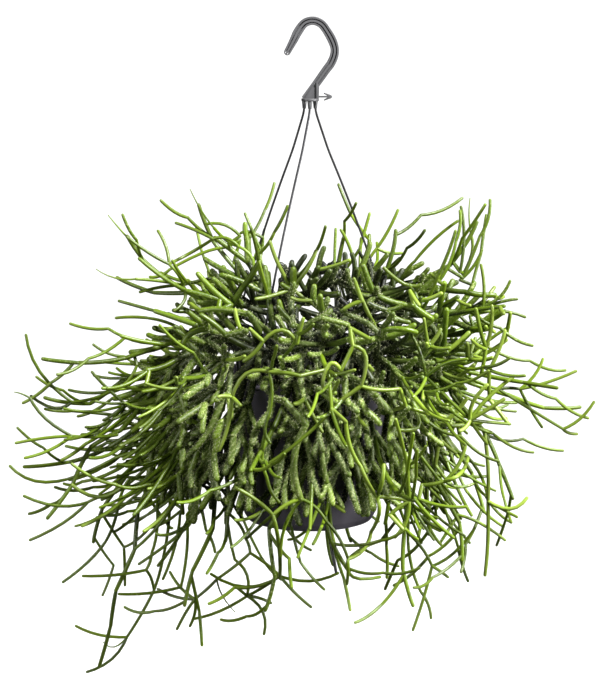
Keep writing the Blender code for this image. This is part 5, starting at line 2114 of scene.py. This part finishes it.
def ear_shape(azimuth):
    """A flat ear with a round end, standing out from the lip."""
    middle = EAR_REACH - EAR_HALF_WIDTH
    outline = [(POT_LIP_RADIUS - OVERRUN, -EAR_HALF_WIDTH)]
    for step in range(EAR_ARC_STEPS + 1):
        angle = math.radians(-90 + 180 * step / EAR_ARC_STEPS)
        outline.append((middle + EAR_HALF_WIDTH * math.cos(angle), EAR_HALF_WIDTH * math.sin(angle)))
    outline.append((POT_LIP_RADIUS - OVERRUN, EAR_HALF_WIDTH))
    shape = plate(outline, EAR_THICKNESS, FLAT_ROUNDING)
    flat = Matrix.Rotation(math.radians(-90), 4, "X")
    turn = Matrix.Rotation(math.radians(azimuth - 90), 4, "Z")
    lift = Matrix.Translation((0.0, 0.0, EAR_TOP - EAR_THICKNESS / 2))
    bmesh.ops.transform(shape, matrix=lift @ turn @ flat, verts=shape.verts)
    return shape


def combine(thing, others, operation):
    """Join others to a mesh object, or cut them from it, and keep the result as its mesh."""
    for other in others:
        boolean = thing.modifiers.new("combine", "BOOLEAN")
        boolean.operation = operation
        boolean.solver = "EXACT"
        boolean.object = other
    graph = bpy.context.evaluated_depsgraph_get()
    mesh = bpy.data.meshes.new_from_object(thing.evaluated_get(graph))
    thing.modifiers.clear()
    thing.data = mesh
    for other in others:
        bpy.data.objects.remove(other)


combine(pot, [as_object("ear", ear_shape(azimuth)) for azimuth in EAR_AZIMUTHS.values()], "UNION")
cutters = []
for azimuth in EAR_AZIMUTHS.values():
    spot = around(azimuth, EAR_HOLE_REACH, 0.0)
    radius = WIRE_RADIUS + GAP
    hole = cone(radius, radius, EAR_TOP - CUT_DEPTH, EAR_TOP + OVERRUN, spot, EAR_HOLE_SIDES, 0.0)
    cutters.append(as_object("hole", hole))
for index in range(DRAIN_HOLES):
    spot = around(45 + 360 * index / DRAIN_HOLES, DRAIN_REACH, 0.0)
    low, high = POT_BASE - OVERRUN, POT_BASE + DRAIN_DEPTH
    drain = cone(DRAIN_RADIUS, DRAIN_RADIUS, low, high, spot, DRAIN_SIDES, 0.0)
    cutters.append(as_object("drain", drain))
combine(pot, cutters, "DIFFERENCE")
pot.data.shade_smooth()
pot.data.set_sharp_from_angle(angle=math.radians(POT_SMOOTH_ANGLE))
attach(pot, "root")
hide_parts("pot")
print("faces of the pot:", len(pot.data.polygons))

# %% [markdown]
# ## Plastic
#
# All the plastic is moulded and satin. The pot is charcoal with a touch of purple, the hook a neutral grey
# and the wires nearly black. The front wire is the same plastic made paler as painted light, for the light
# that falls on it. Plastic of this kind has a very fine grain that scatters the highlight, and faint cloudy
# patches from the flow in the mould.

# %% Give the plastic its finish
# Each plastic's darkest and lightest colour, its roughness, and how fine and how deep its grain is.
PLASTICS = {
    "hook_plastic": ((0.100, 0.100, 0.104), (0.124, 0.124, 0.130), 0.38, 2600, 0.00005),
    "wire_plastic": ((0.018, 0.018, 0.019), (0.026, 0.026, 0.028), 0.35, 2600, 0.00004),
    "pot_plastic": ((0.120, 0.110, 0.135), (0.145, 0.134, 0.164), 0.42, 1800, 0.00006),
    # The front wire's paler plastic is painted light: the same black plastic, lightened where the lamp falls
    # on it.
    "wire_plastic_worn": ((0.028, 0.028, 0.031), (0.042, 0.042, 0.047), 0.30, 2600, 0.00004),
}


def plastic_finish(name, dark, light, roughness, grain_scale, grain_depth):
    """Satin moulded plastic with a fine grain and cloudy patches."""
    plastic = Nodes(name, roughness)
    clouds = plastic.noise(35, 3.0)
    plastic.put(plastic.shader.inputs["Base Color"], plastic.ramp(clouds, [(0.35, dark), (0.65, light)]))
    plastic.bump(plastic.noise(grain_scale, 2.0), grain_depth, 0.5)
    return plastic.material


plastics = {name: plastic_finish(name, *look) for name, look in PLASTICS.items()}
# The front wire gets the paler copy as painted light.
finishes = [(hook, "hook_plastic"), (pot, "pot_plastic"), (wires[0], "wire_plastic_worn")]
finishes += [(wire, "wire_plastic") for wire in wires[1:]]
for thing, name in finishes:
    thing.data.materials.clear()
    thing.data.materials.append(plastics[name])
print("plastics:", *plastics)

# %% [markdown]
# ## Potting mix
#
# The pot is filled with dark, crumbly potting mix. The plain filling keeps its shape and gets a mottled brown
# finish with a rough surface, and loose crumbs lie on top of it between the stems. A crumb is a small ball of
# twenty faces, squashed and turned by chance, and a few of them are pale, as the lightening grains in potting
# mix are.

# %% Scatter crumbs on the soil
CRUMBS = 900
CRUMB_RADIUS = (0.0006, 0.0019)
CRUMB_REACH = 0.0690
CRUMB_LIFT = 0.3
CRUMB_STRETCH = (0.6, 1.2)
CRUMB_UNEVENNESS = (0.8, 1.2)


def crumb_mesh():
    """Many small crumbs on the soil's surface."""
    shape = bmesh.new()
    bmesh.ops.create_icosphere(shape, subdivisions=1, radius=1.0)
    points, counts, corners = arrays_of(shape)
    reach = CRUMB_REACH * np.sqrt(chance.uniform(0, 1, CRUMBS))
    angle = chance.uniform(0, math.tau, CRUMBS)
    size = chance.uniform(0, 1, CRUMBS) ** 2 * (CRUMB_RADIUS[1] - CRUMB_RADIUS[0]) + CRUMB_RADIUS[0]
    height = SOIL_TOP + SOIL_MOUND * (1 - (reach / CRUMB_REACH) ** 2) + size * CRUMB_LIFT
    centre = np.stack([reach * np.cos(angle), reach * np.sin(angle), height], axis=1)
    stretch = chance.uniform(*CRUMB_STRETCH, (CRUMBS, 1, 3)) * size[:, None, None]
    rough = chance.uniform(*CRUMB_UNEVENNESS, (CRUMBS, len(points), 1))
    mesh = repeated_mesh("crumbs", centre[:, None] + points[None] * rough * stretch, counts, corners)
    mesh.shade_flat()
    add_attribute(mesh, "chance", np.repeat(chance.uniform(0, 1, CRUMBS), len(points)))
    return mesh


def mix_finish(name, by_crumb):
    """Brown potting mix, mottled in itself or from crumb to crumb."""
    mix = Nodes(name, 0.9)
    share = mix.attribute("chance") if by_crumb else mix.noise(260, 4.0, 0.65)
    stops = [(0.2, (0.012, 0.008, 0.005)), (0.6, (0.050, 0.032, 0.020)), (0.85, (0.085, 0.060, 0.040))]
    if by_crumb:
        stops.append((0.93, (0.42, 0.40, 0.36)))
    mix.put(mix.shader.inputs["Base Color"], mix.ramp(share, stops))
    mix.bump(mix.noise(700, 4.0, 0.7), 0.0012, 0.8)
    return mix.material


crumbs = add_object("crumbs", crumb_mesh())
crumbs.data.materials.append(mix_finish("crumb_mix", True))
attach(crumbs, "root")
soil = bpy.data.objects["soil"]
soil.data.materials.clear()
soil.data.materials.append(mix_finish("potting_mix", False))
print("crumbs:", CRUMBS, "faces:", len(crumbs.data.polygons))

# %% [markdown]
# ## Measure and finish
#
# The dressed plant should fill the plain model's box and not much more, so both boxes are measured and how
# far the dressed one grows past the plain one is printed.

# %% Write the sizes
dressed_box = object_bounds()
grows = []
for plain, dressed in zip(cad_box, dressed_box):
    grows += [round((after - before) * 1000, 1) for before, after in zip(plain, dressed)]
print("grows past the CAD box, in mm:", grows)
